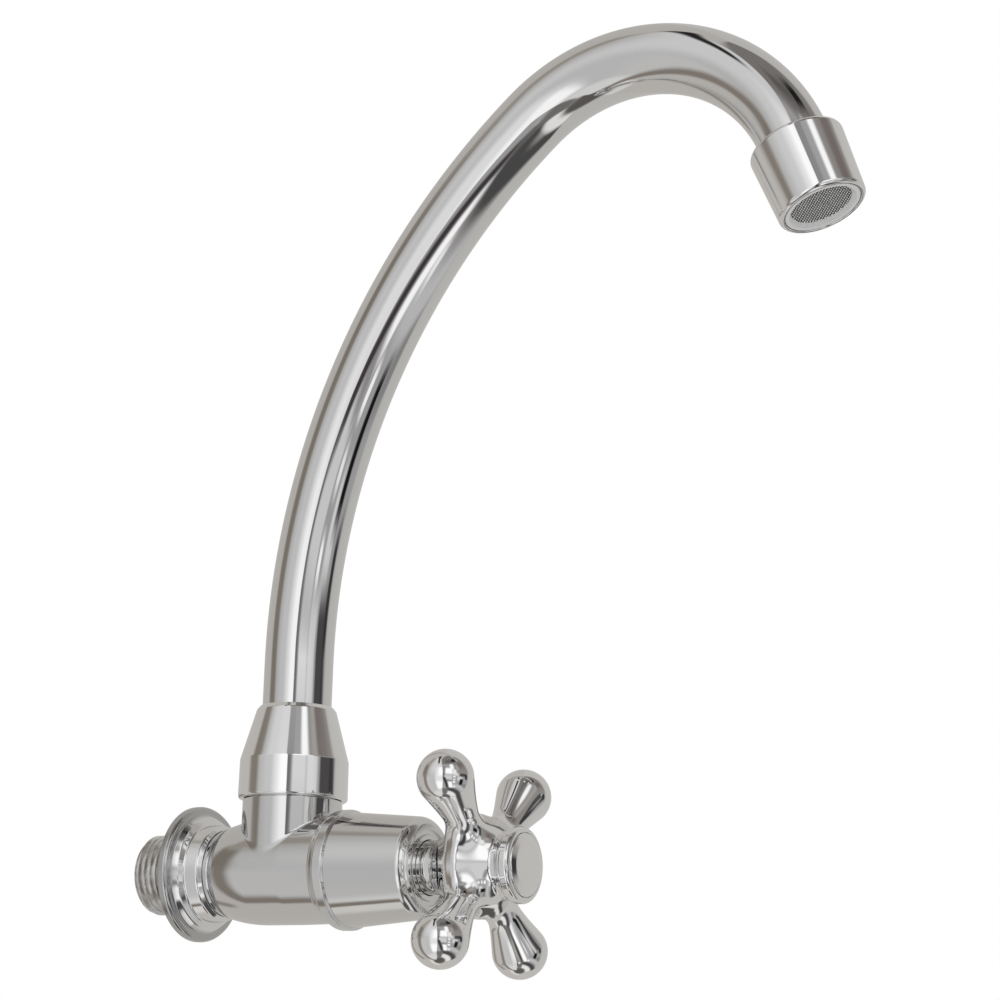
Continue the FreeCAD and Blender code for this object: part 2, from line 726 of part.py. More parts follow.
def arm_feature(body):
    """One arm, revolved about its own axis: a neck, a taper and a ball tangent to it."""
    sketch = new_sketch(body, "ArmOutline")
    line_y = S.arm_at
    tip = S.ball_at + S.ball_r
    join_x = S.ball_at - S.ball_r * sine(S.arm_taper)
    join_r = S.ball_r * cosine(S.arm_taper)
    neck_r = join_r - (join_x - S.arm_neck_at) * tangent(S.arm_taper)
    root_x = S.hub_r / 2
    level = line_y.value
    half = math.radians((90 + S.arm_taper.value) / 2)
    on_ball = Vector(S.ball_at.value + S.ball_r.value * math.cos(half),
                     level + S.ball_r.value * math.sin(half), 0)
    corners = [Vector(root_x.value, level, 0), Vector(tip.value, level, 0),
               Vector(join_x.value, level + join_r.value, 0),
               Vector(S.arm_neck_at.value, level + neck_r.value, 0),
               Vector(root_x.value, level + neck_r.value, 0)]
    axis = sketch.addGeometry(Part.LineSegment(corners[0], corners[1]), False)
    ball = sketch.addGeometry(Part.Arc(corners[1], on_ball, corners[2]), False)
    taper = sketch.addGeometry(Part.LineSegment(corners[2], corners[3]), False)
    neck = sketch.addGeometry(Part.LineSegment(corners[3], corners[4]), False)
    root = sketch.addGeometry(Part.LineSegment(corners[4], corners[0]), False)
    for first, second in ((taper, neck), (neck, root), (root, axis)):
        sketch.addConstraint(Sketcher.Constraint("Coincident", first, 2, second, 1))
    sketch.addConstraint(Sketcher.Constraint("Coincident", axis, 2, ball, 1))
    sketch.addConstraint(Sketcher.Constraint("Coincident", ball, 2, taper, 1))
    hold_point(sketch, axis, 1, root_x, line_y)
    sketch.addConstraint(Sketcher.Constraint("Horizontal", axis))
    hold_point(sketch, ball, 3, S.ball_at, line_y)
    hold_point(sketch, taper, 1, join_x, line_y + join_r)
    hold_point(sketch, neck, 1, S.arm_neck_at, line_y + neck_r)
    hold_point(sketch, root, 1, root_x, line_y + neck_r)
    line = sketch.addGeometry(Part.LineSegment(Vector(0, level, 0), Vector(5, level, 0)), True)
    sketch.addConstraint(Sketcher.Constraint("Horizontal", line))
    hold_point(sketch, line, 1, 0, line_y)
    arm = body.newObject("PartDesign::Revolution", "Arm")
    arm.Profile = sketch
    arm.ReferenceAxis = (sketch, ["Axis0"])
    arm.Angle = 360
    doc.recompute()
    return arm


def blend_arms(body):
    """Round the seams where the arms run into the hub."""
    base = body.Tip
    inside = S.arm_neck_at.value
    reach = S.ball_r.value

    def is_seam(edge):
        middle = edge.BoundBox.Center
        out = math.hypot(middle.x, middle.y)
        near = abs(middle.z - S.arm_at.value) < reach
        return near and 4.0 < out < inside and not isinstance(edge.Curve, (Part.Circle, Part.Line))

    names = edges_where(base.Shape, is_seam)
    blend = body.newObject("PartDesign::Fillet", "ArmBlend")
    blend.Base = (base, names)
    bind(blend, "Radius", S.arm_blend)
    doc.recompute()
    return blend


def bore_handle(body):
    """Splined socket, screw hole, head recess and the button's stepped seat."""
    web_low = S.spline_end + 0.6
    web_high = web_low + S.web_thick
    socket = star_sketch(body, "SocketOutline", S.spline_root_r + S.film_gap, S.spline_tip_r + S.film_gap,
                         COUNTS["spline_teeth"], S.handle_back_at, -HANDLE_TURN)
    extrude(body, "Socket", socket, web_low - S.handle_back_at, "PartDesign::Pocket")
    hole_r = S.screw_r + S.slip_gap
    head_r = S.screw_head_r + 0.3
    plug_r = S.plug_r + S.film_gap
    seat_at = S.handle_face_at - S.button_seat
    plug_at = seat_at - S.plug_len - 0.4
    turn(body, "ScrewHole", [
        (0, web_low), (hole_r, web_low), (hole_r, web_high), (head_r, web_high), (head_r, plug_at),
        (plug_r, plug_at), (plug_r, seat_at), (S.button_r + S.film_gap, seat_at),
        (S.button_r + S.film_gap, S.handle_face_at), (0, S.handle_face_at)], "PartDesign::Groove")


def handle_screw():
    """Cheese-head screw through the handle's web into the spindle, with a driver slot."""
    body = new_body("handle_screw")
    seat = S.spline_end + 0.6 + S.web_thick
    top = seat + S.screw_head_len
    low = S.spline_end - S.screw_len + 1.0
    turn(body, "Screw", [(0, low), (S.screw_r - 0.5, low), (S.screw_r, low + 0.5), (S.screw_r, seat),
                         (S.screw_head_r, seat), (S.screw_head_r, top, as_size(0.6)), (0, top)])
    box_feature(body, "Subtractive", "Slot", (as_size(1.0), S.screw_head_r * 4, S.screw_head_len),
                (as_size(-0.5), -S.screw_head_r * 2, top - 1.2))
    lay_along_body(body)
    return body


def index_button():
    """Plain domed button with a hollow plug that snaps into the handle's boss."""
    body = new_body("index_button")
    seat = S.handle_face_at - S.button_seat
    low = seat - S.plug_len
    top = S.handle_face_at + S.button_crown
    turn(body, "Button", [
        (S.plug_r - 1.3, low), (S.plug_r, low), (S.plug_r, seat), (S.button_r, seat),
        (S.button_r, S.handle_face_at + 0.25, as_size(0.5)), (S.button_r * 0.7, top - 0.1, as_size(6.0)),
        (0, top), (0, seat + 0.4), (S.plug_r - 1.3, seat + 0.4)])
    lay_along_body(body)
    return body


def spout_nut():
    """Tapered collar screwed on the tee's spigot: it traps the spout's foot and lets it swivel."""
    body = new_body("spout_nut")
    low = S.tee_top + 0.1
    thread_top = S.tee_top + S.tee_spigot_len + 0.3
    bore_r = S.foot_flange_r + S.slip_gap
    tube_hole = S.tube_r + S.slip_gap * 2
    turn(body, "Collar", [
        (S.tee_spigot_r + S.film_gap, low), (S.nut_r + 0.1, low, as_size(0.8)),
        (S.nut_r, S.tee_top + S.nut_straight, as_size(1.5)), (S.nut_cone_r, S.nut_cone_top, as_size(0.8)),
        (tube_hole + 0.3, S.nut_top, as_size(0.25)), (tube_hole, S.nut_top),
        (tube_hole, S.nut_seat_at), (bore_r, S.nut_seat_at), (bore_r, thread_top),
        (S.tee_spigot_r + S.film_gap, thread_top)])
    stand_on_tee(body)
    return body


def slip_ring():
    """Plastic ring between the spout's foot and the nut, on which the spout turns."""
    body = new_body("slip_ring")
    high = S.nut_seat_at
    low = S.tee_top + S.tee_spigot_len + S.foot_flange_len + S.film_gap * 2
    turn(body, "Ring", [(S.tube_r + S.slip_gap * 2, low), (S.foot_flange_r, low),
                        (S.foot_flange_r, high), (S.tube_r + S.slip_gap * 2, high)])
    stand_on_tee(body)
    return body


def spout_foot():
    """Brass foot brazed on the tube: a flange, a spigot in the tee's socket and two ring grooves."""
    body = new_body("spout_foot")
    spigot = S.socket_r - S.run_gap
    seat = S.tee_top + S.tee_spigot_len + S.film_gap
    top = seat + S.foot_flange_len
    low = S.socket_floor + 0.5
    tube = S.tube_r + S.film_gap
    turn(body, "Foot", [
        (S.foot_bore_r, low), (spigot - 0.6, low), (spigot, low + 0.6), (spigot, seat),
        (S.foot_flange_r, seat), (S.foot_flange_r, top, as_size(0.3)), (tube, top),
        (tube, S.tube_foot - S.film_gap), (S.foot_bore_r, S.tube_foot - S.film_gap)])
    groove_r = S.socket_r - S.run_gap - S.o_ring_section_r * 2 - 0.05
    groove_wide = S.o_ring_section_r * 2 + 0.5
    ring_cut(body, "LowGroove", groove_r, S.socket_r + 1, S.foot_groove_low, groove_wide)
    ring_cut(body, "HighGroove", groove_r, S.socket_r + 1, S.foot_groove_high, groove_wide)
    stand_on_tee(body)
    return body


def spout_rings():
    """Two rubber rings that seal the spout's foot in the tee."""
    major = S.socket_r - S.run_gap - S.o_ring_section_r - 0.02
    group = rubber_rings("spout_rings", major, S.o_ring_section_r, (S.foot_groove_low, S.foot_groove_high))
    stand_on_tee(group)
    return group


def spout_path(body):
    """Centre line of the gooseneck in the plane of the body's axis: rise, two bends, outlet run."""
    sketch = new_sketch(body, "Centreline", "YZ_Plane")
    turn_one = math.radians(S.lean_turn.value)
    heading = math.radians(last_heading.value)
    rise = S.rise_top.value
    centre_one = Vector(-S.lean_bend_r.value, rise, 0)

    def on_first(angle):
        return centre_one + Vector(math.cos(angle), math.sin(angle), 0) * S.lean_bend_r.value

    joint = on_first(turn_one)
    centre_two = joint - Vector(math.cos(turn_one), math.sin(turn_one), 0) * S.top_bend_r.value

    def on_second(angle):
        return centre_two + Vector(math.cos(angle), math.sin(angle), 0) * S.top_bend_r.value

    start = Vector(0, S.tube_foot.value, 0)
    bend_end = on_second(heading)
    run = Vector(-math.sin(heading), math.cos(heading), 0)
    tube_end = bend_end + run * (S.outlet_run.value - S.outlet_thread_low.value - 1.0)
    rise_line = sketch.addGeometry(Part.LineSegment(start, Vector(0, rise, 0)), False)
    first = sketch.addGeometry(Part.Arc(Vector(0, rise, 0), on_first(turn_one / 2), joint), False)
    second = sketch.addGeometry(Part.Arc(joint, on_second((turn_one + heading) / 2), bend_end), False)
    last = sketch.addGeometry(Part.LineSegment(bend_end, tube_end), False)
    hold_point(sketch, rise_line, 1, 0, S.tube_foot)
    hold_point(sketch, rise_line, 2, 0, S.rise_top)
    sketch.addConstraint(Sketcher.Constraint("Tangent", rise_line, 2, first, 1))
    sketch.addConstraint(Sketcher.Constraint("Tangent", first, 2, second, 1))
    sketch.addConstraint(Sketcher.Constraint("Tangent", second, 2, last, 1))
    bound_radius(sketch, first, S.lean_bend_r)
    bound_radius(sketch, second, S.top_bend_r)
    spoke = sketch.addGeometry(Part.LineSegment(centre_one, joint), True)
    sketch.addConstraint(Sketcher.Constraint("Coincident", spoke, 1, first, 3))
    sketch.addConstraint(Sketcher.Constraint("Coincident", spoke, 2, first, 2))
    row = sketch.addConstraint(Sketcher.Constraint("Angle", -1, 1, spoke, 1, turn_one))
    sketch.setExpression(f"Constraints[{row}]", f"{S.lean_turn.formula} * 1 deg")
    spoke_two = sketch.addGeometry(Part.LineSegment(centre_two, bend_end), True)
    sketch.addConstraint(Sketcher.Constraint("Coincident", spoke_two, 1, second, 3))
    sketch.addConstraint(Sketcher.Constraint("Coincident", spoke_two, 2, second, 2))
    row = sketch.addConstraint(Sketcher.Constraint("Angle", -1, 1, spoke_two, 1, heading))
    sketch.setExpression(f"Constraints[{row}]", f"{last_heading.formula} * 1 deg")
    length = S.outlet_run - S.outlet_thread_low - 1.0
    row = sketch.addConstraint(Sketcher.Constraint("Distance", last, length.value))
    bind(sketch, f"Constraints[{row}]", length)
    return sketch


def spout_tube():
    """Gooseneck of round tube, swept along its centre line with an open bore."""
    body = new_body("spout_tube")
    path = spout_path(body)
    section = new_sketch(body, "Section", "XY_Plane", S.tube_foot)
    for radius in (S.tube_r, S.tube_r - S.tube_wall):
        circle = section.addGeometry(Part.Circle(Vector(), Vector(0, 0, 1), radius.value), False)
        section.addConstraint(Sketcher.Constraint("Coincident", circle, 3, -1, 1))
        bound_radius(section, circle, radius)
    doc.recompute()
    pipe = body.newObject("PartDesign::AdditivePipe", "Tube")
    pipe.Profile = section
    pipe.Spine = path
    doc.recompute()
    stand_on_tee(body)
    return body


def outlet_bush():
    """Threaded bush brazed on the end of the tube, which carries the aerator."""
    body = new_body("outlet_bush")
    low = S.outlet_thread_low
    inner = S.tube_r - S.tube_wall
    tube = S.tube_r + S.film_gap
    stop = low + 1.0 - S.film_gap
    turn(body, "Bush", [
        (inner, low), (S.outlet_thread_r, low), (S.outlet_thread_r, S.outlet_thread_top, as_size(0.5)),
        (tube, S.outlet_thread_top), (tube, stop), (inner, stop)])
    hang_on_outlet(body)
    return body


def aerator_shell():
    """Slightly tapered shell screwed on the bush, with a rolled lip that holds the insert."""
    body = new_body("aerator_shell")
    bore = S.outlet_thread_r + S.film_gap
    turn(body, "Shell", [
        (S.lip_r, 0), (S.shell_low_r, 0, as_size(0.9)), (S.shell_top_r, S.shell_len, as_size(1.1)),
        (bore, S.shell_len), (bore, S.lip_thick), (S.lip_r, S.lip_thick)])
    hang_on_outlet(body)
    return body


def aerator_washer():
    """Rubber washer between the bush and the insert."""
    body = new_body("aerator_washer")
    low = S.lip_thick + S.cage_len
    turn(body, "Washer", [
        (S.tube_r - S.tube_wall, low), (S.outlet_thread_r - 0.3, low),
        (S.outlet_thread_r - 0.3, S.outlet_thread_low), (S.tube_r - S.tube_wall, S.outlet_thread_low)])
    hang_on_outlet(body)
    return body


def aerator_cage():
    """Plastic insert: the pale ring seen in the outlet, with an inner ledge under the screen."""
    body = new_body("aerator_cage")
    low = as_size(0.25)
    ledge = S.lip_thick
    top = S.lip_thick + S.cage_len
    wide = S.outlet_thread_r - 0.3
    inner = S.cage_bore_r + 0.8
    turn(body, "Cage", [
        (S.cage_bore_r + 0.7, low), (S.lip_r - S.slip_gap, low), (S.lip_r - S.slip_gap, S.lip_thick),
        (wide, S.lip_thick), (wide, top), (inner, top), (inner, ledge), (S.cage_bore_r, ledge)])
    hang_on_outlet(body)
    return body


def aerator_screen():
    """Square mesh in a flat rim, lying on the cage's ledge."""
    body = new_body("aerator_screen")
    reach = S.cage_bore_r + 0.45
    count = COUNTS["screen_rows"]
    low = S.lip_thick
    turn(body, "Disc", [(0, low), (reach, low), (reach, low + S.screen_bar), (0, low + S.screen_bar)])
    start = -S.screen_pitch * (count / 2)
    hole = S.screen_pitch - S.screen_bar
    corner = outline(body, "MeshOutline", [
        (start, start), (start + hole, start), (start + hole, start + hole), (start, start + hole)],
        "XY_Plane", low)
    mesh = extrude(body, "MeshHole", corner, S.screen_bar, "PartDesign::Pocket")
    grid = body.newObject("PartDesign::MultiTransform", "Mesh")
    rows = []
    for letter in "XY":
        row = body.newObject("PartDesign::LinearPattern", f"Rows{letter}")
        row.Direction = (origin_plane(body, f"{letter}_Axis"), [""])
        bind(row, "Length", S.screen_pitch * (count - 1))
        row.Occurrences = count
        rows.append(row)
    grid.Originals = [mesh]
    grid.Transformations = rows
    body.Tip = grid
    doc.recompute()
    turn(body, "Rim", [(S.cage_bore_r - 0.1, low), (reach, low), (reach, low + S.screen_bar),
                       (S.cage_bore_r - 0.1, low + S.screen_bar)])
    hang_on_outlet(body)
    return body


def jet_former():
    """Plastic cup over the screen whose floor breaks the stream into small jets."""
    body = new_body("jet_former")
    low = S.lip_thick + S.screen_bar + 0.05
    top = S.lip_thick + S.cage_len
    floor = top - S.former_thick
    outer = S.cage_bore_r + 0.7
    turn(body, "Cup", [(outer - 0.9, low), (outer, low), (outer, top), (0, top), (0, floor),
                       (outer - 0.9, floor)])
    for name, ring_r, count in (("InnerJets", 2.6, 8), ("OuterJets", 5.3, 16)):
        sketch = new_sketch(body, name + "Outline", "XY_Plane", floor)
        circle = sketch.addGeometry(Part.Circle(Vector(ring_r, 0, 0), Vector(0, 0, 1), 0.55), False)
        hold_point(sketch, circle, 3, as_size(ring_r), 0)
        bound_radius(sketch, circle, as_size(0.55))
        jets = extrude(body, name, sketch, S.former_thick, "PartDesign::Pocket")
        polar(body, [jets], count)
    hang_on_outlet(body)
    return body


PIECES = (
    body_casting, wall_flange, seat_seal, fixed_disc, headwork_body, gasket, thrust_washer,
    bonnet_shroud, spout_nut, slip_ring,
    moving_disc, spindle, spindle_rings, spindle_clip, cross_handle, handle_screw, index_button,
    spout_foot, spout_rings, spout_tube, outlet_bush, aerator_shell, aerator_washer, aerator_cage,
    aerator_screen, jet_former,
)


def main():
    os.makedirs("parts", exist_ok=True)
    built = [make() for make in PIECES]
    doc.recompute()
    for item in doc.Objects:
        if "Invalid" in item.State or "Error" in item.State:
            raise RuntimeError(f"{item.Name} is {item.State}")
    for piece in built:
        if piece.Shape.isNull() or not piece.Shape.isValid():
            raise RuntimeError(f"{piece.Label} has no valid shape")
        piece.Shape.exportStep(f"parts/{piece.Label}.step")
        print(piece.Label, round(piece.Shape.Volume, 1), len(piece.Shape.Solids))


main()
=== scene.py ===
"""Looks of the wall-mounted gooseneck tap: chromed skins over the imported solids, from the wall
to the outlet, then the studio that the plating reflects and the photograph's camera.

Sizes are millimetres until a mesh is made. Along the body's axis a station is a distance out
of the wall (-Y); at the spout's foot it is a height; at the outlet it runs up from its face.
"""
import json
import math

import bmesh
import bpy
import numpy as np
from mathutils import Matrix, Vector


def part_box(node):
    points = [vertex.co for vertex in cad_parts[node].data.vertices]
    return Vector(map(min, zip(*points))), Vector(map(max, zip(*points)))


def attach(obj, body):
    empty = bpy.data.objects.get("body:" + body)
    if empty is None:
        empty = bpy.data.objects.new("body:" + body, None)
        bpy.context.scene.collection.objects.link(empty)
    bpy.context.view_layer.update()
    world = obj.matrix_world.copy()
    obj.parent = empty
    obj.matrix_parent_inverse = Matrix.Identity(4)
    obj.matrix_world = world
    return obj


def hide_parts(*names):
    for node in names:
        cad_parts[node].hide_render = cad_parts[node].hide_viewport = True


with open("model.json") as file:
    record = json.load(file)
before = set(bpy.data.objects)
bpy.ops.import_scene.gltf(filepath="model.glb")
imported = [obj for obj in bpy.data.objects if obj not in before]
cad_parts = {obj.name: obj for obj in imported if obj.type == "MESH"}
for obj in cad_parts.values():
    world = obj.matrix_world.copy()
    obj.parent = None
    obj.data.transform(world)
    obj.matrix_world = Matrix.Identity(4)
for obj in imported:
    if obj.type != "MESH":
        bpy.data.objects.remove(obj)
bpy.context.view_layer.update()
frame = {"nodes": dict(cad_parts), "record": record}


# Wall flange. A loose ring of chromed brass that slides along the shank and hides the hole in the
# wall: a rounded rim, a low bead and a short tapering neck, turned from bar, buffed and plated.

MM = 0.001
AROUND = 192                      # steps round a turned surface
ARC_STEP = math.radians(7)        # the longest step round a rounded corner, as an angle
ARC_RUN = 0.3                     # and as a length
TINY = 1e-6
ALONG_BODY = Matrix.Rotation(math.radians(90), 4, "X")      # lays a piece's own Z along -Y


def box_mm(node):
    low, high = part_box(node)
    return np.array(low) / MM, np.array(high) / MM


def rounded(corners):
    """Rows (radius, station, normal r, normal s, break) of an outline; a corner's third
    value is its rounding radius, and a corner without one is left sharp."""
    points = [np.array(corner[:2], float) for corner in corners]
    rows = []

    def facing(start, end):
        run = (end - start) / np.linalg.norm(end - start)
        return np.array([run[1], -run[0]])

    for index, corner in enumerate(corners):
        here = points[index]
        before = facing(points[index - 1], here) if index else None
        after = facing(here, points[index + 1]) if index + 1 < len(points) else None
        if before is None or after is None:
            rows.append((*here, *(after if before is None else before), False))
            continue
        turn = math.atan2(before[0] * after[1] - before[1] * after[0], before @ after)
        if len(corner) < 3 or abs(turn) < 1e-4:
            rows.append((*here, *before, True))
            rows.append((*here, *after, False))
            continue
        radius, side = corner[2], math.copysign(1, turn)
        reach = radius * math.tan(abs(turn) / 2)
        along = np.array([-before[1], before[0]])
        centre = here - along * reach - before * radius * side
        steps = max(2, math.ceil(abs(turn) / ARC_STEP), math.ceil(radius * abs(turn) / ARC_RUN))
        for step in range(steps + 1):
            angle = turn * step / steps
            way = np.array([before[0] * math.cos(angle) - before[1] * math.sin(angle),
                            before[0] * math.sin(angle) + before[1] * math.cos(angle)])
            rows.append((*(centre + way * radius * side), *way, False))
    return rows


def place(points, normals, faces, placed):
    """A surface moved from its own axes to where the matrix puts it."""
    matrix = np.array(placed, float)
    return points @ matrix[:3, :3].T + matrix[:3, 3], normals @ matrix[:3, :3].T, faces


def turned(rows, placed, around=AROUND):
    """A surface of revolution about local Z from the rows of an outline."""
    angle = np.linspace(0, 2 * math.pi, around, endpoint=False)
    points, normals, faces, starts = [], [], [], []
    for radius, station, out, up, _ in rows:
        starts.append(sum(len(ring) for ring in points))
        ring = angle[:1] if radius < TINY else angle
        points.append(np.stack([radius * np.cos(ring), radius * np.sin(ring),
                                np.full(len(ring), station)], 1))
        normals.append(np.stack([out * np.cos(ring), out * np.sin(ring), np.full(len(ring), up)], 1))
    for row in range(len(rows) - 1):
        if rows[row][4]:
            continue
        low, high = starts[row], starts[row + 1]
        for step in range(around):
            after = (step + 1) % around
            if len(points[row]) == 1:
                faces.append((low, high + after, high + step))
            elif len(points[row + 1]) == 1:
                faces.append((low + step, low + after, high))
            else:
                faces.append((low + step, low + after, high + after, high + step))
    return place(np.concatenate(points), np.concatenate(normals), faces, placed)


class Tree:
    """Short calls for building a node tree."""

    def __init__(self, tree):
        self.tree = tree
        tree.nodes.clear()

    def node(self, kind, **settings):
        made = self.tree.nodes.new(kind)
        for name, value in settings.items():
            setattr(made, name, value)
        return made

    def feed(self, socket, value):
        if isinstance(value, bpy.types.NodeSocket):
            self.tree.links.new(value, socket)
        elif value is not None:
            socket.default_value = value

    def math(self, operation, first, second=None, third=None):
        made = self.node("ShaderNodeMath", operation=operation)
        self.feed(made.inputs[0], first)
        self.feed(made.inputs[1], second)
        self.feed(made.inputs[2], third)
        return made.outputs[0]

    def dot(self, first, second):
        made = self.node("ShaderNodeVectorMath", operation="DOT_PRODUCT")
        self.feed(made.inputs[0], first)
        self.feed(made.inputs[1], second)
        return made.outputs["Value"]

    def rise(self, value, low, high):
        """0 below low, 1 above high, smooth between; low may be the larger."""
        made = self.node("ShaderNodeMapRange", interpolation_type="SMOOTHSTEP")
        self.feed(made.inputs["Value"], value)
        down = low > high
        self.feed(made.inputs["From Min"], min(low, high))
        self.feed(made.inputs["From Max"], max(low, high))
        self.feed(made.inputs["To Min"], 1.0 if down else 0.0)
        self.feed(made.inputs["To Max"], 0.0 if down else 1.0)
        return made.outputs["Result"]

    def within(self, value, low, high, soft):
        """1 between low and high, 0 outside, with edges as wide as soft."""
        return self.math("MULTIPLY", self.rise(value, low - soft / 2, low + soft / 2),
                         self.rise(value, high + soft / 2, high - soft / 2))

    def mix(self, share, first, second):
        made = self.node("ShaderNodeMix", data_type="RGBA")
        self.feed(made.inputs["Factor"], share)
        self.feed(made.inputs["A"], first)
        self.feed(made.inputs["B"], second)
        return made.outputs["Result"]

    def noise(self, scale, detail=2.0, roughness=0.5, vector=None):
        made = self.node("ShaderNodeTexNoise")
        self.feed(made.inputs["Vector"], vector)
        self.feed(made.inputs["Scale"], scale)
        self.feed(made.inputs["Detail"], detail)
        self.feed(made.inputs["Roughness"], roughness)
        return made.outputs["Fac"]

    def here(self):
        return self.node("ShaderNodeTexCoord").outputs["Object"]


def colour(red, green, blue):
    """A screen colour, 0 to 255, as the linear values that the nodes take."""
    def linear(level):
        level = level / 255
        return level / 12.92 if level <= 0.04045 else ((level + 0.055) / 1.055) ** 2.4
    return (linear(red), linear(green), linear(blue), 1.0)


def surface(name, base, metallic, roughness, build=None):
    """A Principled material with plain values; build may add to its tree, and the sockets that
    it gives are fed instead."""
    material = bpy.data.materials.new(name)
    material.use_nodes = True
    tree = Tree(material.node_tree)
    shader = tree.node("ShaderNodeBsdfPrincipled")
    out = tree.node("ShaderNodeOutputMaterial")
    tree.feed(out.inputs["Surface"], shader.outputs["BSDF"])
    tree.feed(shader.inputs["Base Color"], base)
    tree.feed(shader.inputs["Metallic"], metallic)
    tree.feed(shader.inputs["Roughness"], roughness)
    for socket, value in (build(tree) if build else {}).items():
        tree.feed(shader.inputs[socket], value)
    return material


def bump(tree, height, distance, strength=1.0):
    made = tree.node("ShaderNodeBump")
    made.inputs["Strength"].default_value = strength
    made.inputs["Distance"].default_value = distance
    tree.feed(made.inputs["Height"], height)
    return made.outputs["Normal"]


RIPPLE_SCALE, SMEAR_SCALE = 90.0, 260.0
MIRROR_ROUGHNESS = 0.03


def chrome_look(ripple, haze=0.035):
    """Plated metal: the buffing's slow ripple under a clear mirror, with faint wiped haze."""
    def build(tree):
        here = tree.here()
        wave = tree.noise(RIPPLE_SCALE, 1.0, 0.4, here)
        smear = tree.rise(tree.noise(SMEAR_SCALE, 3.0, 0.6, here), 0.45, 0.75)
        return {"Normal": bump(tree, wave, ripple),
                "Roughness": tree.math("MULTIPLY_ADD", smear, haze, MIRROR_ROUGHNESS)}
    return build


def give_finish(slot, material):
    """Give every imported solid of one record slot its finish."""
    for row in frame["record"]["subparts"]:
        if row["material_slot"] == slot:
            node = frame["nodes"][row["node"]]
            if not node.material_slots:
                node.data.materials.append(None)
            for place_at in node.material_slots:
                place_at.material = material


def skin(name, parts, body, nodes, material):
    """One piece from several surfaces with exact normals, standing for CAD nodes."""
    points, normals, faces = [], [], []
    for part_points, part_normals, part_faces in parts:
        start = sum(len(rows) for rows in points)
        points.append(part_points)
        normals.append(part_normals)
        faces += [tuple(start + index for index in face) for face in part_faces]
    mesh = bpy.data.meshes.new(name)
    mesh.from_pydata((np.concatenate(points) * MM).tolist(), [], faces)
    mesh.polygons.foreach_set("use_smooth", [True] * len(mesh.polygons))
    mesh.normals_split_custom_set_from_vertices(np.concatenate(normals).tolist())
    mesh.materials.append(material)
    piece = bpy.data.objects.new(name, mesh)
    bpy.context.scene.collection.objects.link(piece)
    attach(piece, body)
    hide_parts(*nodes)


PLATE = colour(237, 237, 237)
chrome = surface("chrome", PLATE, 1.0, 0.04, chrome_look(0.00002))
give_finish("chrome", chrome)

flange_low, flange_high = box_mm("wall_flange")
FLANGE_END = -flange_low[1]
RIM_R = flange_high[2]
RIM_THICK = 2.75
FLANGE_BORE_R, FLANGE_BORE_SEEN = 11.2, 9.0      # a bore is drawn as far in as it can be seen
LOW_BEAD_FOOT_R, LOW_BEAD_R, LOW_BEAD_AT = RIM_R - 2.0, RIM_R - 3.2, 4.2
FLANGE_NECK_R, FLANGE_NECK_AT = 12.85, 5.1
FLANGE_TIP_R, FLANGE_TIP_LEN = 12.35, 0.9
FLANGE_BRIGHT, FLANGE_RIM_GREY = colour(232, 232, 232), colour(190, 190, 190)
RIM_GREY_FROM, RIM_GREY_FULL = 0.0144, 0.0156      # radii, in metres, over which the rim turns greyer and rougher
RIM_ROUGHER = 0.1


def flange_look(tree):
    """Mirror-bright neck and bead, and a rim given a greyer base colour and more roughness, so it renders
    darker and duller.
    """
    made = chrome_look(0.00005, 0.05)(tree)
    across = tree.node("ShaderNodeSeparateXYZ")
    tree.feed(across.inputs[0], tree.here())
    radius = tree.math("SQRT", tree.math("ADD", tree.math("POWER", across.outputs["X"], 2.0),
                                         tree.math("POWER", across.outputs["Z"], 2.0)))
    rim_share = tree.rise(radius, RIM_GREY_FROM, RIM_GREY_FULL)
    made["Base Color"] = tree.mix(rim_share, FLANGE_BRIGHT, FLANGE_RIM_GREY)
    made["Roughness"] = tree.math("MULTIPLY_ADD", rim_share, RIM_ROUGHER, made["Roughness"])
    return made


chrome_flange = surface("chrome_flange", FLANGE_BRIGHT, 1.0, 0.06, flange_look)
skin("flange_skin", [turned(rounded([
    (FLANGE_BORE_R, FLANGE_BORE_SEEN), (FLANGE_BORE_R, 0.0), (RIM_R, 0.0, 0.5), (RIM_R, RIM_THICK, 1.3),
    (LOW_BEAD_FOOT_R, RIM_THICK, 1.2), (LOW_BEAD_R, LOW_BEAD_AT, 1.6), (FLANGE_NECK_R, FLANGE_NECK_AT, 0.8),
    (FLANGE_TIP_R, FLANGE_END - FLANGE_TIP_LEN, 1.0), (FLANGE_BORE_R + 0.15, FLANGE_END, 0.15),
    (FLANGE_BORE_R, FLANGE_END)]), ALONG_BODY)],
    "tap_body", ["wall_flange"], chrome_flange)


# Body casting. Barrel with a domed wall end and a bead at its front, and the boss for the spout
# blended out of its top: one brass casting, bored through, ground, buffed and plated.

VOXEL = 0.42                      # of the remeshed seeds
SEED_AROUND = 96                  # steps round a seed, which only the remesh sees
SEED_PAST, SEED_OVER = 2.0, 0.6   # how far a seed runs past the cut that trims it
SLOPE_STEP = 0.01                 # the span over which a slope is measured
PULLS = 6                         # times that a remeshed surface is drawn onto its field
NEAR_CUT = 0.02                   # an edge this near a cut stays in its plane
CORE_R = -9.0                     # a field's outline is closed this far beyond the axis
RUN_ON = 6                        # and runs on this far past its ends


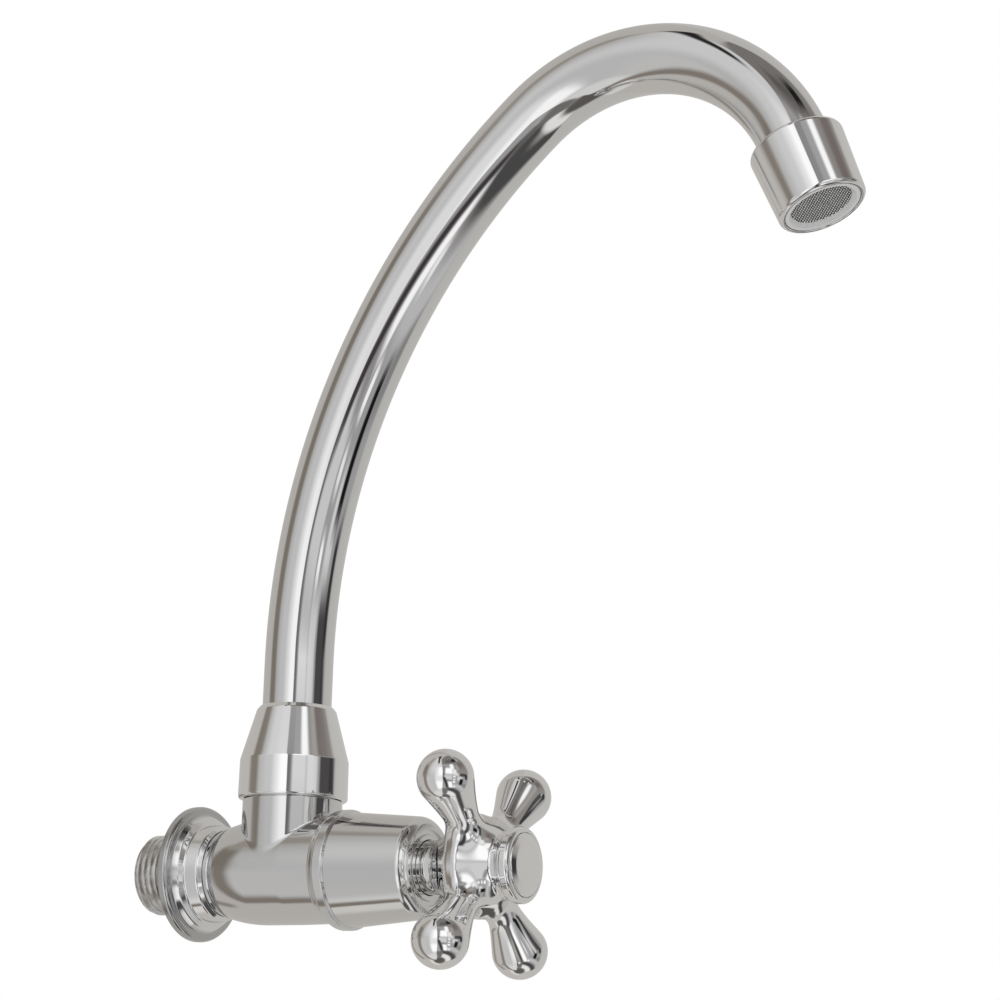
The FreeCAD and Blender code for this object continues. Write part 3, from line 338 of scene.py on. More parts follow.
def outline_distance(points, outline):
    """Signed distance of 2-D points to a closed outline, negative inside."""
    outline = np.asarray(outline, float)
    nearest = np.full(len(points), 1e9)
    inside = np.zeros(len(points), bool)
    for start, end in zip(outline, np.roll(outline, -1, 0)):
        run = end - start
        if run @ run < 1e-12:
            continue
        share = np.clip(((points - start) @ run) / (run @ run), 0, 1)
        nearest = np.minimum(nearest, np.linalg.norm(points - start - share[:, None] * run, axis=1))
        spans = (start[1] > points[:, 1]) != (end[1] > points[:, 1])
        if run[1]:
            inside ^= spans & (points[:, 0] < start[0] + (points[:, 1] - start[1]) * run[0] / run[1])
    return np.where(inside, -nearest, nearest)


def soft_union(first, second, width):
    """The nearer of two distances, with a fillet where they are alike to within width."""
    blend = np.maximum(width - np.abs(first - second), 0) / width
    return np.minimum(first, second) - blend * blend * width / 4


def on_field(seeds, field, cuts, placed):
    """Remesh the union of seed surfaces, draw it onto the field's zero and give it the
    field's own normals. Each cut is (point, normal): what lies beyond it is taken off."""
    mesh = bpy.data.meshes.new("seed")
    build = bmesh.new()
    for points, _, faces in seeds:
        corners = [build.verts.new(point) for point in points.tolist()]
        for face in faces:
            build.faces.new([corners[index] for index in face])
    bmesh.ops.remove_doubles(build, verts=build.verts, dist=1e-4)
    build.to_mesh(mesh)
    build.free()
    seed = bpy.data.objects.new("seed", mesh)
    bpy.context.scene.collection.objects.link(seed)
    remesh = seed.modifiers.new("Remesh", "REMESH")
    remesh.mode, remesh.voxel_size = "VOXEL", VOXEL
    made = bpy.data.meshes.new_from_object(seed.evaluated_get(bpy.context.evaluated_depsgraph_get()))
    bpy.data.objects.remove(seed)
    build = bmesh.new()
    build.from_mesh(made)
    for point, normal in cuts:
        bmesh.ops.bisect_plane(build, geom=build.verts[:] + build.edges[:] + build.faces[:],
                               plane_co=point, plane_no=normal, clear_outer=True, dist=1e-5)
    build.verts.ensure_lookup_table()
    points = np.array([vertex.co[:] for vertex in build.verts])
    rim = np.array([vertex.is_boundary for vertex in build.verts])
    faces = [tuple(vertex.index for vertex in face.verts) for face in build.faces]
    build.free()

    def slope(at):
        return np.stack([(field(at + way) - field(at - way)) / (2 * SLOPE_STEP)
                         for way in np.eye(3) * SLOPE_STEP], 1)

    for _ in range(PULLS):
        way = slope(points)
        move = way * (field(points) / np.maximum((way * way).sum(1), 0.2))[:, None]
        for point, normal in cuts:
            held = rim & (np.abs((points - point) @ np.array(normal)) < NEAR_CUT)
            move[held] -= np.outer(move[held] @ np.array(normal), normal)
        points = points - move
    way = slope(points)
    return place(points, way / np.linalg.norm(way, axis=1)[:, None], faces, placed)


def part_of(rows, low, high):
    """The rows of an outline between two stations, with rows added at the cuts."""
    rows = list(rows)
    for cut in (low, high):
        for index in range(len(rows) - 1):
            first, second = rows[index], rows[index + 1]
            if not first[4] and (first[1] - cut) * (second[1] - cut) < 0:
                share = (cut - first[1]) / (second[1] - first[1])
                made = [a + (b - a) * share for a, b in zip(first[:4], second[:4])]
                rows.insert(index + 1, (made[0], cut, made[2], made[3], False))
                break
    return [row for row in rows if low - TINY <= row[1] <= high + TINY]


def capped(rows):
    """Close an outline to the axis at both ends, for a seed surface."""
    first, last = rows[0], rows[-1]
    return [(0, first[1], 0, -1, False), (first[0], first[1], 0, -1, False), *rows,
            (last[0], last[1], 0, 1, False), (0, last[1], 0, 1, False)]


# Its plate is toned greyer than the handle's: painted shade that makes the barrel render darker than the
# other chrome.
chrome_cast = surface("chrome_cast", colour(222, 222, 222), 1.0, 0.04, chrome_look(0.00004))
give_finish("chrome_body", chrome_cast)

nut_low, nut_high = box_mm("spout_nut")
TEE_AT = -(nut_low[1] + nut_high[1]) / 2
SEAM_AT = -box_mm("bonnet_shroud")[1][1]
ON_TEE = Matrix.Translation((0, -TEE_AT, 0))
SHANK_R, BARREL_BACK = 11.1, FLANGE_END + 0.1
DOME_R, DOME_AT = 13.5, 16.95
BARREL_R, BARREL_AT = 13.6, 34.0
BEAD_FOOT_R, BEAD_R, SEAM_R, SEAM_BORE_R = 13.45, 15.25, 14.56, 13.0
BARREL = [
    (SHANK_R, BARREL_BACK), (DOME_R, DOME_AT, 40.0), (BARREL_R, BARREL_AT, 60.0),
    (BEAD_FOOT_R, SEAM_AT - 5.2, 1.2), (BEAD_R, SEAM_AT - 3.0, 1.1), (BEAD_R, SEAM_AT - 0.45, 0.35),
    (SEAM_R, SEAM_AT), (SEAM_BORE_R, SEAM_AT)]
FRONT_SPIGOT_R, FRONT_SPIGOT_LEN, CHAMBER_R = 12.9, 3.5, 10.5
BOSS_R, BOSS_TOP = 12.9, nut_low[2] - 0.1
BOSS_CUT, BOSS_SEED_FOOT = BOSS_TOP - 0.4, 0.5
TEE_SPIGOT_R, TEE_BORE_R, TEE_SPIGOT_TOP = 12.0, 10.25, 29.0
BLEND_LOW, BLEND_HIGH = 13.0, 43.0
CREASE = 0.4                      # width of the blend where the boss leaves the barrel

barrel_rows = rounded(BARREL)
blend_rows = part_of(barrel_rows, BLEND_LOW, BLEND_HIGH)


def casting_field(points):
    """Signed distance to the barrel blended with the boss."""
    radial = np.hypot(points[:, 0], points[:, 1])
    middle = [(row[0], row[1]) for row in blend_rows]
    first, last = np.array(middle[0]), np.array(middle[-1])
    lead = first - (np.array(middle[1]) - first) / (middle[1][1] - first[1]) * RUN_ON
    tail = last + (last - np.array(middle[-2])) / (last[1] - middle[-2][1]) * RUN_ON
    outline = [(CORE_R, lead[1]), tuple(lead), *middle, tuple(tail), (CORE_R, tail[1])]
    barrel = outline_distance(np.stack([radial, points[:, 2]], 1), outline)
    boss = np.maximum(np.hypot(points[:, 0], points[:, 2] - TEE_AT) - BOSS_R, -points[:, 1])
    return soft_union(barrel, boss, CREASE)


barrel_seed_rows = part_of(barrel_rows, BLEND_LOW - SEED_PAST, BLEND_HIGH + SEED_OVER)
boss_seed_rows = [(BOSS_R, BOSS_SEED_FOOT, 1, 0, False), (BOSS_R, BOSS_TOP + SEED_PAST, 1, 0, False)]
upright = Matrix.Translation((0, 0, TEE_AT)) @ Matrix.Rotation(math.radians(-90), 4, "X")
barrel_seed = turned(capped(barrel_seed_rows), Matrix.Identity(4), SEED_AROUND)
boss_seed = turned(capped(boss_seed_rows), upright, SEED_AROUND)
junction = on_field([barrel_seed, boss_seed], casting_field,
                    [((0, 0, BLEND_LOW), (0, 0, -1)), ((0, 0, BLEND_HIGH), (0, 0, 1)),
                     ((0, BOSS_CUT, 0), (0, 1, 0))], ALONG_BODY)

skin("casting_skin", [
    junction,
    turned(part_of(barrel_rows, BARREL_BACK, BLEND_LOW), ALONG_BODY),
    turned(part_of(barrel_rows, BLEND_HIGH, SEAM_AT), ALONG_BODY),
    turned(rounded([(FRONT_SPIGOT_R, SEAM_AT), (FRONT_SPIGOT_R, SEAM_AT + FRONT_SPIGOT_LEN),
                    (CHAMBER_R, SEAM_AT + FRONT_SPIGOT_LEN)]), ALONG_BODY),
    turned(rounded([(BOSS_R, BOSS_CUT), (BOSS_R, BOSS_TOP, 0.2), (TEE_SPIGOT_R, BOSS_TOP),
                    (TEE_SPIGOT_R, TEE_SPIGOT_TOP), (TEE_BORE_R, TEE_SPIGOT_TOP)]), ON_TEE)],
    "tap_body", ["body_casting"], chrome_cast)


# Inlet. The casting runs on into the wall as a shank and a half-inch pipe thread. The plating
# stops there, so it is the dull grey of bare metal, with the marks of the thread-cutting die.


def thread_look(tree):
    """Unplated thread: dull grey metal with fine turning marks and darker stains."""
    here = tree.here()
    stain = tree.noise(260.0, 2.0, 0.5, here)
    marks = tree.noise(1800.0, 2.0, 0.5, here)
    clean = tree.rise(stain, 0.35, 0.7)
    return {"Base Color": tree.mix(clean, colour(206, 205, 203), colour(238, 238, 237)),
            "Roughness": tree.math("MULTIPLY_ADD", stain, 0.1, 0.1),
            "Normal": bump(tree, marks, 0.00001, 0.4)}


INLET_END = -box_mm("body_casting")[1][1]
THREAD_R, THREAD_ROOT, PITCH = 10.47, 9.32, 1.814
THREAD_TOP = -4.8
THREAD_STEEP = 1.35               # how steeply a ridge rises from its root
THREAD_END_R, LEAD_IN = 9.5, 0.9  # the chamfered end's radius, and what it gains per millimetre
RUN_OUT, RUN_OUT_GAP = 0.9, 0.3   # length of the last ridge's fade, and its gap to the shank
INLET_BORE_R, INLET_BORE_SEEN = 6.5, 21.0
SHANK_SEEN = 9.6
thread_metal = surface("thread_metal", colour(225, 224, 221), 1.0, 0.2, thread_look)


def thread_surface():
    """Outside of the inlet thread: rounded ridges on a helix, chamfered at the free end."""
    rows, around = 110, 160
    station, angle = np.meshgrid(np.linspace(INLET_END, THREAD_TOP, rows),
                                 np.linspace(0, 2 * math.pi, around, endpoint=False), indexing="ij")

    def radius(at, turn):
        wave = np.abs(((at / PITCH - turn / (2 * math.pi)) % 1) * 2 - 1)
        ridge = np.clip((wave - 0.5) * THREAD_STEEP + 0.5, 0, 1)
        ridge = ridge * ridge * (3 - 2 * ridge)
        fade = np.clip((THREAD_TOP - RUN_OUT_GAP - at) / RUN_OUT, 0, 1)
        full = THREAD_ROOT + (THREAD_R - THREAD_ROOT) * ridge * fade
        return np.minimum(full, THREAD_END_R + (at - INLET_END) * LEAD_IN)

    step = SLOPE_STEP
    out = radius(station, angle)
    along = (radius(station + step, angle) - radius(station - step, angle)) / (2 * step)
    across = (radius(station, angle + step) - radius(station, angle - step)) / (2 * step) / out
    cos, sin = np.cos(angle), np.sin(angle)
    points = np.stack([out * cos, out * sin, station], -1).reshape(-1, 3)
    normals = np.stack([cos + across * sin, sin - across * cos, -along], -1).reshape(-1, 3)
    normals /= np.linalg.norm(normals, axis=1)[:, None]
    faces = [(row * around + turn, row * around + (turn + 1) % around,
              (row + 1) * around + (turn + 1) % around, (row + 1) * around + turn)
             for row in range(rows - 1) for turn in range(around)]
    return place(points, normals, faces, ALONG_BODY)


skin("inlet_skin", [
    thread_surface(),
    turned(rounded([(INLET_BORE_R, INLET_BORE_SEEN), (INLET_BORE_R, INLET_END, 0.4),
                    (THREAD_END_R, INLET_END)]), ALONG_BODY),
    turned(rounded([(THREAD_ROOT, THREAD_TOP), (SHANK_R, THREAD_TOP, 0.3),
                    (SHANK_R, SHANK_SEEN)]), ALONG_BODY)],
    "tap_body", ["body_casting"], thread_metal)


# Headwork and seals. Behind the cover sit a brass quarter-turn headwork with ceramic discs, a
# steel clip and screw, rubber rings, a fibre gasket and nylon washers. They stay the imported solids.


def plastic_look(tree):
    here = tree.here()
    grain = tree.noise(2500.0, 3.0, 0.6, here)
    return {"Normal": bump(tree, grain, 0.00001, 0.5)}


def brass_look(tree):
    here = tree.here()
    tone = tree.noise(300.0, 3.0, 0.6, here)
    marks = tree.noise(2500.0, 2.0, 0.5, here)
    return {"Base Color": tree.mix(tone, colour(186, 150, 84), colour(222, 192, 120)),
            "Roughness": tree.math("MULTIPLY_ADD", tone, 0.15, 0.22),
            "Normal": bump(tree, marks, 0.00002, 0.6)}


def rubber_look(tree):
    here = tree.here()
    grain = tree.noise(1500.0, 4.0, 0.6, here)
    return {"Roughness": tree.math("MULTIPLY_ADD", grain, 0.25, 0.45),
            "Normal": bump(tree, grain, 0.00002, 0.6)}


give_finish("steel", surface("steel", colour(186, 186, 187), 1.0, 0.28, plastic_look))
give_finish("brass", surface("brass", colour(210, 176, 104), 1.0, 0.3, brass_look))
give_finish("ceramic", surface("ceramic", colour(240, 238, 230), 0.0, 0.12, plastic_look))
give_finish("rubber", surface("rubber", colour(34, 34, 35), 0.0, 0.6, rubber_look))
give_finish("nylon", surface("nylon", colour(232, 231, 224), 0.0, 0.4, plastic_look))
give_finish("fibre", surface("fibre", colour(150, 92, 66), 0.0, 0.8, rubber_look))


# Bonnet shroud. A thin chromed cone that screws on the casting's spigot over the headwork, with
# a rounded nose and a ring groove in its face.

SHROUD_FACE = -box_mm("bonnet_shroud")[0][1]
SHROUD_BORE_R, SHROUD_BORE_SEEN = 13.1, SEAM_AT + 3
SHROUD_NOSE_R, NOSE_ROUNDING = 12.62, 2.9
RING_OUT_R, RING_IN_R = 9.45, 8.25
RING_FLOOR = SHROUD_FACE - 0.6
SHROUD_HOLE_R, SHROUD_HOLE_LEN = 6.95, 2.8
# Its plate is toned greyer than the handle's, a painted shade like the casting's.
chrome_shroud = surface("chrome_shroud", colour(220, 220, 219), 1.0, 0.04, chrome_look(0.00002))

skin("shroud_skin", [turned(rounded([
    (SHROUD_BORE_R, SHROUD_BORE_SEEN), (SHROUD_BORE_R, SEAM_AT), (SEAM_R, SEAM_AT, 0.12),
    (SHROUD_NOSE_R, SHROUD_FACE, NOSE_ROUNDING), (RING_OUT_R, SHROUD_FACE, 0.15),
    (RING_OUT_R, RING_FLOOR, 0.15), (RING_IN_R, RING_FLOOR, 0.15), (RING_IN_R, SHROUD_FACE, 0.15),
    (SHROUD_HOLE_R, SHROUD_FACE, 0.2), (SHROUD_HOLE_R, SHROUD_FACE - SHROUD_HOLE_LEN)]), ALONG_BODY)],
    "tap_body", ["bonnet_shroud"], chrome_shroud)


# Cross handle. One casting: a hub that flares from a narrow neck, draws in to a waist and ends in a
# rim, and four tapered arms with ball ends that blend into it. It is pushed on the spindle's splines,
# and a screw under the button holds it.

chrome_handle = surface("chrome_handle", PLATE, 1.0, 0.04, chrome_look(0.00004))
handle_low, handle_high = box_mm("cross_handle")
HANDLE_BACK, HANDLE_FACE = -handle_high[1], -handle_low[1]

ARM_AT, BALL_AT, BALL_R, ARM_TAPER = 87.0, 27.4, 7.05, math.radians(13.1)
ARM_ROOT = 10.0
ROOT_R = BALL_R - (BALL_AT - ARM_ROOT) * math.sin(ARM_TAPER)
ARM_WAIST = 0.3                   # how far an arm draws in halfway along
ARM_BLEND = 5.0                   # width of the blend between the arms and the hub
ARM_ANGLES = [math.pi * (0.25 + quarter / 2) for quarter in range(4)]
NECK_R, NECK_TOP = 6.8, 76.0
FLARE_R, FLARE_AT, HUB_R, HUB_AT = 12.7, 83.2, 13.1, 86.2
WAIST_R, WAIST_AT, WAIST_LEN = 8.3, 93.5, 1.5
BOSS_RIM_R, BOSS_RIM_LEN = 9.45, 2.4
RECESS_R, RECESS_HOLE_R = 7.95, 5.6
RECESS_FLOOR = HANDLE_FACE - 1.5
SPLINE_BORE_R = 4.06
HUB = rounded([
    (NECK_R, HANDLE_BACK), (NECK_R, NECK_TOP, 3.0), (FLARE_R, FLARE_AT, 2.6), (HUB_R, HUB_AT, 2.0),
    (WAIST_R, WAIST_AT, 1.6), (WAIST_R, WAIST_AT + WAIST_LEN, 1.6),
    (BOSS_RIM_R, HANDLE_FACE - BOSS_RIM_LEN, 1.2), (BOSS_RIM_R, HANDLE_FACE, 1.1),
    (RECESS_R, HANDLE_FACE, 0.15), (RECESS_R, RECESS_FLOOR), (RECESS_HOLE_R, RECESS_FLOOR)])
HUB_LOW, HUB_HIGH = HANDLE_BACK + 0.8, ARM_AT + BALL_R + 0.05      # ends of the blended part


def arm_distance(points, angle):
    """Distance to one arm: the cone that is tangent to its ball and to a small root ball."""
    along = points[:, 0] * math.cos(angle) + points[:, 1] * math.sin(angle) - ARM_ROOT
    side = -points[:, 0] * math.sin(angle) + points[:, 1] * math.cos(angle)
    away = np.hypot(side, points[:, 2] - ARM_AT)
    length = BALL_AT - ARM_ROOT
    lean = (ROOT_R - BALL_R) / length
    square = math.sqrt(1 - lean * lean)
    reach = along * square - away * lean
    root = np.hypot(along, away) - ROOT_R
    ball = np.hypot(along - length, away) - BALL_R
    cone = away * square + along * lean - ROOT_R
    cone = cone + ARM_WAIST * np.sin(np.clip(along / length, 0, 1) * math.pi) ** 2
    return np.where(reach < 0, root, np.where(reach > length * square, ball, cone))


def handle_field(points):
    """Signed distance to the hub blended with its four arms; the button's recess is left out."""
    radial = np.hypot(points[:, 0], points[:, 1])
    back, front = HANDLE_BACK - RUN_ON / 2, HANDLE_FACE + RUN_ON / 2
    outline = [(CORE_R, back), (NECK_R, back)]
    outline += [(row[0], row[1]) for row in part_of(HUB, HANDLE_BACK, RECESS_FLOOR - 0.1)]
    outline += [(BOSS_RIM_R, front), (CORE_R, front)]
    middle = outline_distance(np.stack([radial, points[:, 2]], 1), outline)
    arms = np.min([arm_distance(points, angle) for angle in ARM_ANGLES], axis=0)
    return soft_union(middle, arms, ARM_BLEND)


def arm_seed(angle):
    """A rough arm for the remesh, from inside the hub to the ball's end."""
    foot, foot_r, shoulder, shoulder_r = 4.0, 3.0, 13.0, 3.9
    ball_steps, around = 14, 64
    rows = [(0, foot, 0, -1, False), (foot_r, foot, 1, 0, False), (shoulder_r, shoulder, 1, 0, False)]
    for turn in np.linspace(-ARM_TAPER, math.pi / 2, ball_steps)[:-1]:
        rows.append((BALL_R * math.cos(turn), BALL_AT + BALL_R * math.sin(turn), 1, 0, False))
    rows.append((0, BALL_AT + BALL_R, 0, 1, False))
    laid = Matrix.Translation((0, 0, ARM_AT)) @ Matrix.Rotation(angle, 4, "Z") @ Matrix.Rotation(
        math.radians(90), 4, "Y")
    return turned(rows, laid, around)


hub_seed_rows = part_of(HUB, HANDLE_BACK, HUB_HIGH + SEED_OVER)
hub_seed = turned(capped(hub_seed_rows), Matrix.Identity(4), SEED_AROUND)
hub = on_field([hub_seed, *[arm_seed(angle) for angle in ARM_ANGLES]], handle_field,
               [((0, 0, HUB_LOW), (0, 0, -1)), ((0, 0, HUB_HIGH), (0, 0, 1))], ALONG_BODY)
skin("handle_skin", [
    hub,
    turned(rounded([(SPLINE_BORE_R, NECK_TOP), (SPLINE_BORE_R, HANDLE_BACK), (NECK_R, HANDLE_BACK, 0.2),
                    (NECK_R, HUB_LOW)]), ALONG_BODY),
    turned(part_of(HUB, HUB_HIGH, HANDLE_FACE), ALONG_BODY)],
    "handle", ["cross_handle"], chrome_handle)


# Index button. A plain cap turned from brass and chromed, with a slightly domed face. It is pressed
# into the hub's front over the handle's screw.

BUTTON_R, BUTTON_DOME_R = 7.83, 5.5
BUTTON_EDGE, BUTTON_RISE, BUTTON_TOP = HANDLE_FACE + 0.25, HANDLE_FACE + 0.8, HANDLE_FACE + 0.9
skin("button_skin", [turned(rounded([
    (BUTTON_DOME_R, RECESS_FLOOR), (BUTTON_R, RECESS_FLOOR), (BUTTON_R, BUTTON_EDGE, 0.5),
    (BUTTON_DOME_R, BUTTON_RISE, 6.0), (0, BUTTON_TOP)]), ALONG_BODY)],
    "handle", ["index_button"], chrome)


# Spout nut. Turned brass, chromed: a straight base that screws down on the boss and a long cone
# that closes round the spout's foot.

NUT_BORE_R, NUT_BORE_SEEN = 12.05, 24.0
NUT_FOOT_R, NUT_BASE_R, NUT_BASE_TOP = 14.2, 14.1, 28.5
NUT_CONE_R, NUT_CONE_TOP = 10.4, 41.6
NUT_LIP_R, NUT_HOLE_R, NUT_HOLE_LEN = 9.5, 9.2, 4
skin("nut_skin", [turned(rounded([
    (NUT_BORE_R, NUT_BORE_SEEN), (NUT_BORE_R, nut_low[2]), (NUT_FOOT_R, nut_low[2], 0.8),
    (NUT_BASE_R, NUT_BASE_TOP, 1.5), (NUT_CONE_R, NUT_CONE_TOP, 0.8), (NUT_LIP_R, nut_high[2], 0.25),
    (NUT_HOLE_R, nut_high[2]), (NUT_HOLE_R, nut_high[2] - NUT_HOLE_LEN)]), ON_TEE)],
    "tap_body", ["spout_nut"], chrome)


# Spout tube. Drawn brass tube, bent in a jig to a slow forward lean and then the tight gooseneck,
# polished along its length and plated. It turns in the boss on its rings.

chrome_tube = surface("chrome_tube", colour(227, 227, 227), 1.0, 0.04, chrome_look(0.00003))
TUBE_R = 9.0
TUBE_FOOT, RISE_TOP = nut_low[2] + 4, 54.2
LEAN_R, LEAN_TURN = 182.0, math.radians(50.6)
TOP_R = 47.6
OUTLET_TILT, OUTLET_RUN = math.radians(22.5), 20.4
TUBE_STOP = 7.2                   # from the tube's end to the aerator's face
RISE_STEPS, LEAN_STEPS, TOP_STEPS, OUTLET_STEPS = 12, 70, 80, 6


def centreline():
    """Stations along the gooseneck, foot to outlet: (forward, height, heading from upright)."""
    stations = [(0.0, height, 0.0) for height in np.linspace(TUBE_FOOT, RISE_TOP, RISE_STEPS)]
    for angle in np.linspace(0, LEAN_TURN, LEAN_STEPS)[1:]:
        stations.append((LEAN_R * (1 - math.cos(angle)), RISE_TOP + LEAN_R * math.sin(angle), angle))
    forward, height, heading = stations[-1]
    centre = (forward + TOP_R * math.cos(heading), height - TOP_R * math.sin(heading))
    for angle in np.linspace(heading, math.pi - OUTLET_TILT, TOP_STEPS)[1:]:
        stations.append((centre[0] - TOP_R * math.cos(angle), centre[1] + TOP_R * math.sin(angle), angle))
    forward, height, heading = stations[-1]
    for run in np.linspace(0, OUTLET_RUN - TUBE_STOP, OUTLET_STEPS)[1:]:
        stations.append((forward + run * math.sin(heading), height + run * math.cos(heading), heading))
    return stations


line = centreline()
end_forward, end_height, end_heading = line[-1]
OUTLET = Vector((0, -TEE_AT - end_forward - TUBE_STOP * math.sin(end_heading),
                 end_height + TUBE_STOP * math.cos(end_heading)))
AT_OUTLET = Matrix.Translation(OUTLET) @ Matrix.Rotation(-OUTLET_TILT, 4, "X")


def tube_surface():
    """The tube's outside, a ring square to the line at each station."""
    around = 128
    angle = np.linspace(0, 2 * math.pi, around, endpoint=False)
    points, normals = [], []
    for forward, height, heading in line:
        across = np.stack([np.cos(angle), -np.sin(angle) * math.cos(heading),
                           -np.sin(angle) * math.sin(heading)], 1)
        points.append(np.array([0, -TEE_AT - forward, height]) + TUBE_R * across)
        normals.append(across)
    faces = [(row * around + step, (row + 1) * around + step,
              (row + 1) * around + (step + 1) % around, row * around + (step + 1) % around)
             for row in range(len(line) - 1) for step in range(around)]
    return np.concatenate(points), np.concatenate(normals), faces


skin("tube_skin", [tube_surface()], "spout", ["spout_tube"], chrome_tube)


# Aerator. A chromed brass shell screwed on the tube's end. It holds a grey moulded cage, and in
# the cage lies a disc of woven steel wire that breaks the stream up with air.

SHELL_LEN, SHELL_FACE_R, SHELL_R = 19.3, 11.25, 12.2
LIP_R, LIP_LEN = 9.95, 1.3
SHELL_BORE_R, SHELL_BORE_LOW, SHELL_BORE_HIGH = 10.8, 3.0, 15.0
skin("shell_skin", [turned(rounded([
    (SHELL_BORE_R, SHELL_BORE_LOW), (SHELL_BORE_R, LIP_LEN), (LIP_R, LIP_LEN), (LIP_R, 0.0, 0.35),
    (SHELL_FACE_R, 0.0, 1.15), (SHELL_R, SHELL_LEN, 1.1), (SHELL_BORE_R, SHELL_LEN, 0.15),
    (SHELL_BORE_R, SHELL_BORE_HIGH)]), AT_OUTLET)],
    "spout", ["aerator_shell"], chrome)

cage_plastic = surface("cage_plastic", colour(184, 184, 185), 0.0, 0.38, plastic_look)
give_finish("cage_plastic", cage_plastic)

screen_wire = surface("screen_wire", colour(236, 236, 236), 0.2, 0.6, plastic_look)
CAGE_R, CAGE_RING_R, CAGE_FACE = 9.85, 8.75, 0.2
MESH_R, MESH_EDGE, MESH_LEVEL = 7.85, 1.25, 1.55
CAGE_WALL_TOP = 1.9
skin("cage_skin", [turned(rounded([
    (MESH_R, CAGE_WALL_TOP), (MESH_R, MESH_EDGE, 0.15), (CAGE_RING_R, CAGE_FACE, 0.3),
    (CAGE_R, CAGE_FACE, 0.35), (CAGE_R, LIP_LEN)]), AT_OUTLET)],
    "spout", ["aerator_cage"], cage_plastic)


def woven_screen():
    """Crossing round wires, each riding over and under its neighbours."""
    pitch, wire, sides = 0.55, 0.17, 6
    points, normals, faces = [], [], []
    count = int(MESH_R / pitch)
    for crossing in (0, 1):
        for number in range(-count, count + 1):
            reach = math.sqrt(max(MESH_R ** 2 - (number * pitch) ** 2, 0.0))
            steps = max(4, int(reach * 4 / pitch))
            start = sum(len(row) for row in points)
            for step in range(steps + 1):
                along = -reach + 2 * reach * step / steps
                lift = wire * math.cos(math.pi * (along / pitch + number + crossing))
                angle = np.linspace(0, 2 * math.pi, sides, endpoint=False)
                ring = np.stack([number * pitch + wire * np.cos(angle), np.full(sides, along),
                                 MESH_LEVEL + lift + wire * np.sin(angle)], 1)
                face = np.stack([np.cos(angle), np.zeros(sides), np.sin(angle)], 1)
                turn = [0, 1, 2] if crossing else [1, 0, 2]
                points.append(ring[:, turn])
                normals.append(face[:, turn])
            for step in range(steps):
                for side in range(sides):
                    low = start + step * sides
                    after = (side + 1) % sides
                    faces.append((low + side, low + after, low + sides + after, low + sides + side))
    return place(np.concatenate(points), np.concatenate(normals), faces, AT_OUTLET)


skin("screen_weave", [woven_screen()], "spout", ["aerator_screen"], screen_wire)


# Studio: a pale tent behind the tap, a tall soft panel on its left, and on its right a room
# with windows. Bearings are degrees from the camera's side, positive to its left; heights are
# degrees above the level. Only reflections see it.

FORWARD = (-0.8647, -0.5023, 0.0)     # level, from the tap towards the camera
LEFT = (-0.5023, 0.8647, 0.0)         # level, towards the camera's left
PLATE_GAIN = 1.16                     # makes up for what the plating soaks up
BRIGHT = (254, 254, 254)

ROOM = [
    # tone, bearing from and to, height from and to, softness
    ((118, 115, 113), -100, 36, 44, 100, 18),       # dim ceiling
    ((158, 157, 158), -101, 12, -42, 46, 8),        # far wall
    ((134, 130, 127), -101, -42, 13, 60, 16),       # dim corner
    ((112, 103, 101), -90, -60, 32, 52, 16),
    ((158, 154, 150), -60, -46, 22, 42, 10),
    ((30, 29, 29), -72, -38, 55, 68, 10),
    ((90, 87, 85), -38, 4, 55, 66, 12),
    ((186, 186, 187), -100, -28, -38, -27, 8),      # pale sill
    ((136, 134, 136), -2, 16, 4, 40, 7),            # wall between the panel and the windows
    ((112, 109, 111), 4, 14, -8, 12, 5),
    ((188, 188, 188), -29, 0, 3, 16, 6),            # upper window
    (BRIGHT, -29, 0, 10, 32, 9),
    ((248, 248, 248), -37, -20, 27, 48, 10),
    ((206, 206, 207), -54, -31, 3, 14, 7),
    ((230, 230, 231), -46, -30, 10, 26, 9),
    ((204, 204, 204), -27, 3, -13, 4, 6),
    ((142, 140, 141), -23, -2, -20, -13, 6),
    ((250, 250, 250), -41, -32, -3, 2, 4),
    ((236, 236, 237), -42, -32, -13, -8, 4),
    ((250, 250, 250), -43, -32, -23, -17, 4),
    ((236, 236, 236), -50, -36, -40, -34, 5),
    ((212, 211, 210), -72, -50, -12, 1, 8),
    ((72, 70, 70), -92, -60, 3, 13, 6),             # dark shelf and box
    ((54, 53, 53), -97, -84, -4, 10, 6),
    ((24, 23, 24), -77, -61, -25, -5, 7),
    ((132, 131, 131), -100, -80, -27, -16, 8),
    ((74, 73, 73), -116, -6, -58, -43, 9),          # dark plinth and the pale one below it
    ((228, 227, 225), -114, -14, -72, -59, 8),
    ((112, 110, 108), -20, 20, -76, -46, 14),
]

PANEL = [
    # tone, bearing from and to, height from and to, softness
    ((176, 175, 173), 66, 100, 0, 60, 24),          # dimmer towards its far edge
    ((192, 191, 190), 60, 100, -60, 0, 16),
    ((226, 226, 226), 0, 40, -52, 36, 16),          # brighter towards the camera
    (BRIGHT, 0, 28, 2, 34, 14),
    (BRIGHT, 0, 37, -48, -20, 12),
]
PANEL_SHAPE = (60, -5, 50, 76, 2.6)   # bearing and height of its middle, half its sides, squareness
PANEL_GONE, PANEL_FULL = 84, 72       # bearings between which its far edge fades
SAG, SAG_BELOW = 0.14, -10.0          # degrees that the edge sags for each degree below this height
STEP_IN, STEP_HIGH, STEP_LOW = 2.0, 10, -4      # and it steps across by this, between these heights
HOOP_SHAPE = (82, 20, 1, 1, 2.0)      # a circle of one degree, which the two values below multiply
HOOP_IN, HOOP_OUT = 50, 59

HEM = [
    # tone, bearing from and to beside the sagging edge, height from and to, softness
    ((130, 122, 115), 72, 94, -75, 8, 9),
    ((124, 117, 109), 72, 102, 4, 38, 12),
    ((150, 145, 137), 76, 96, 34, 62, 12),
]

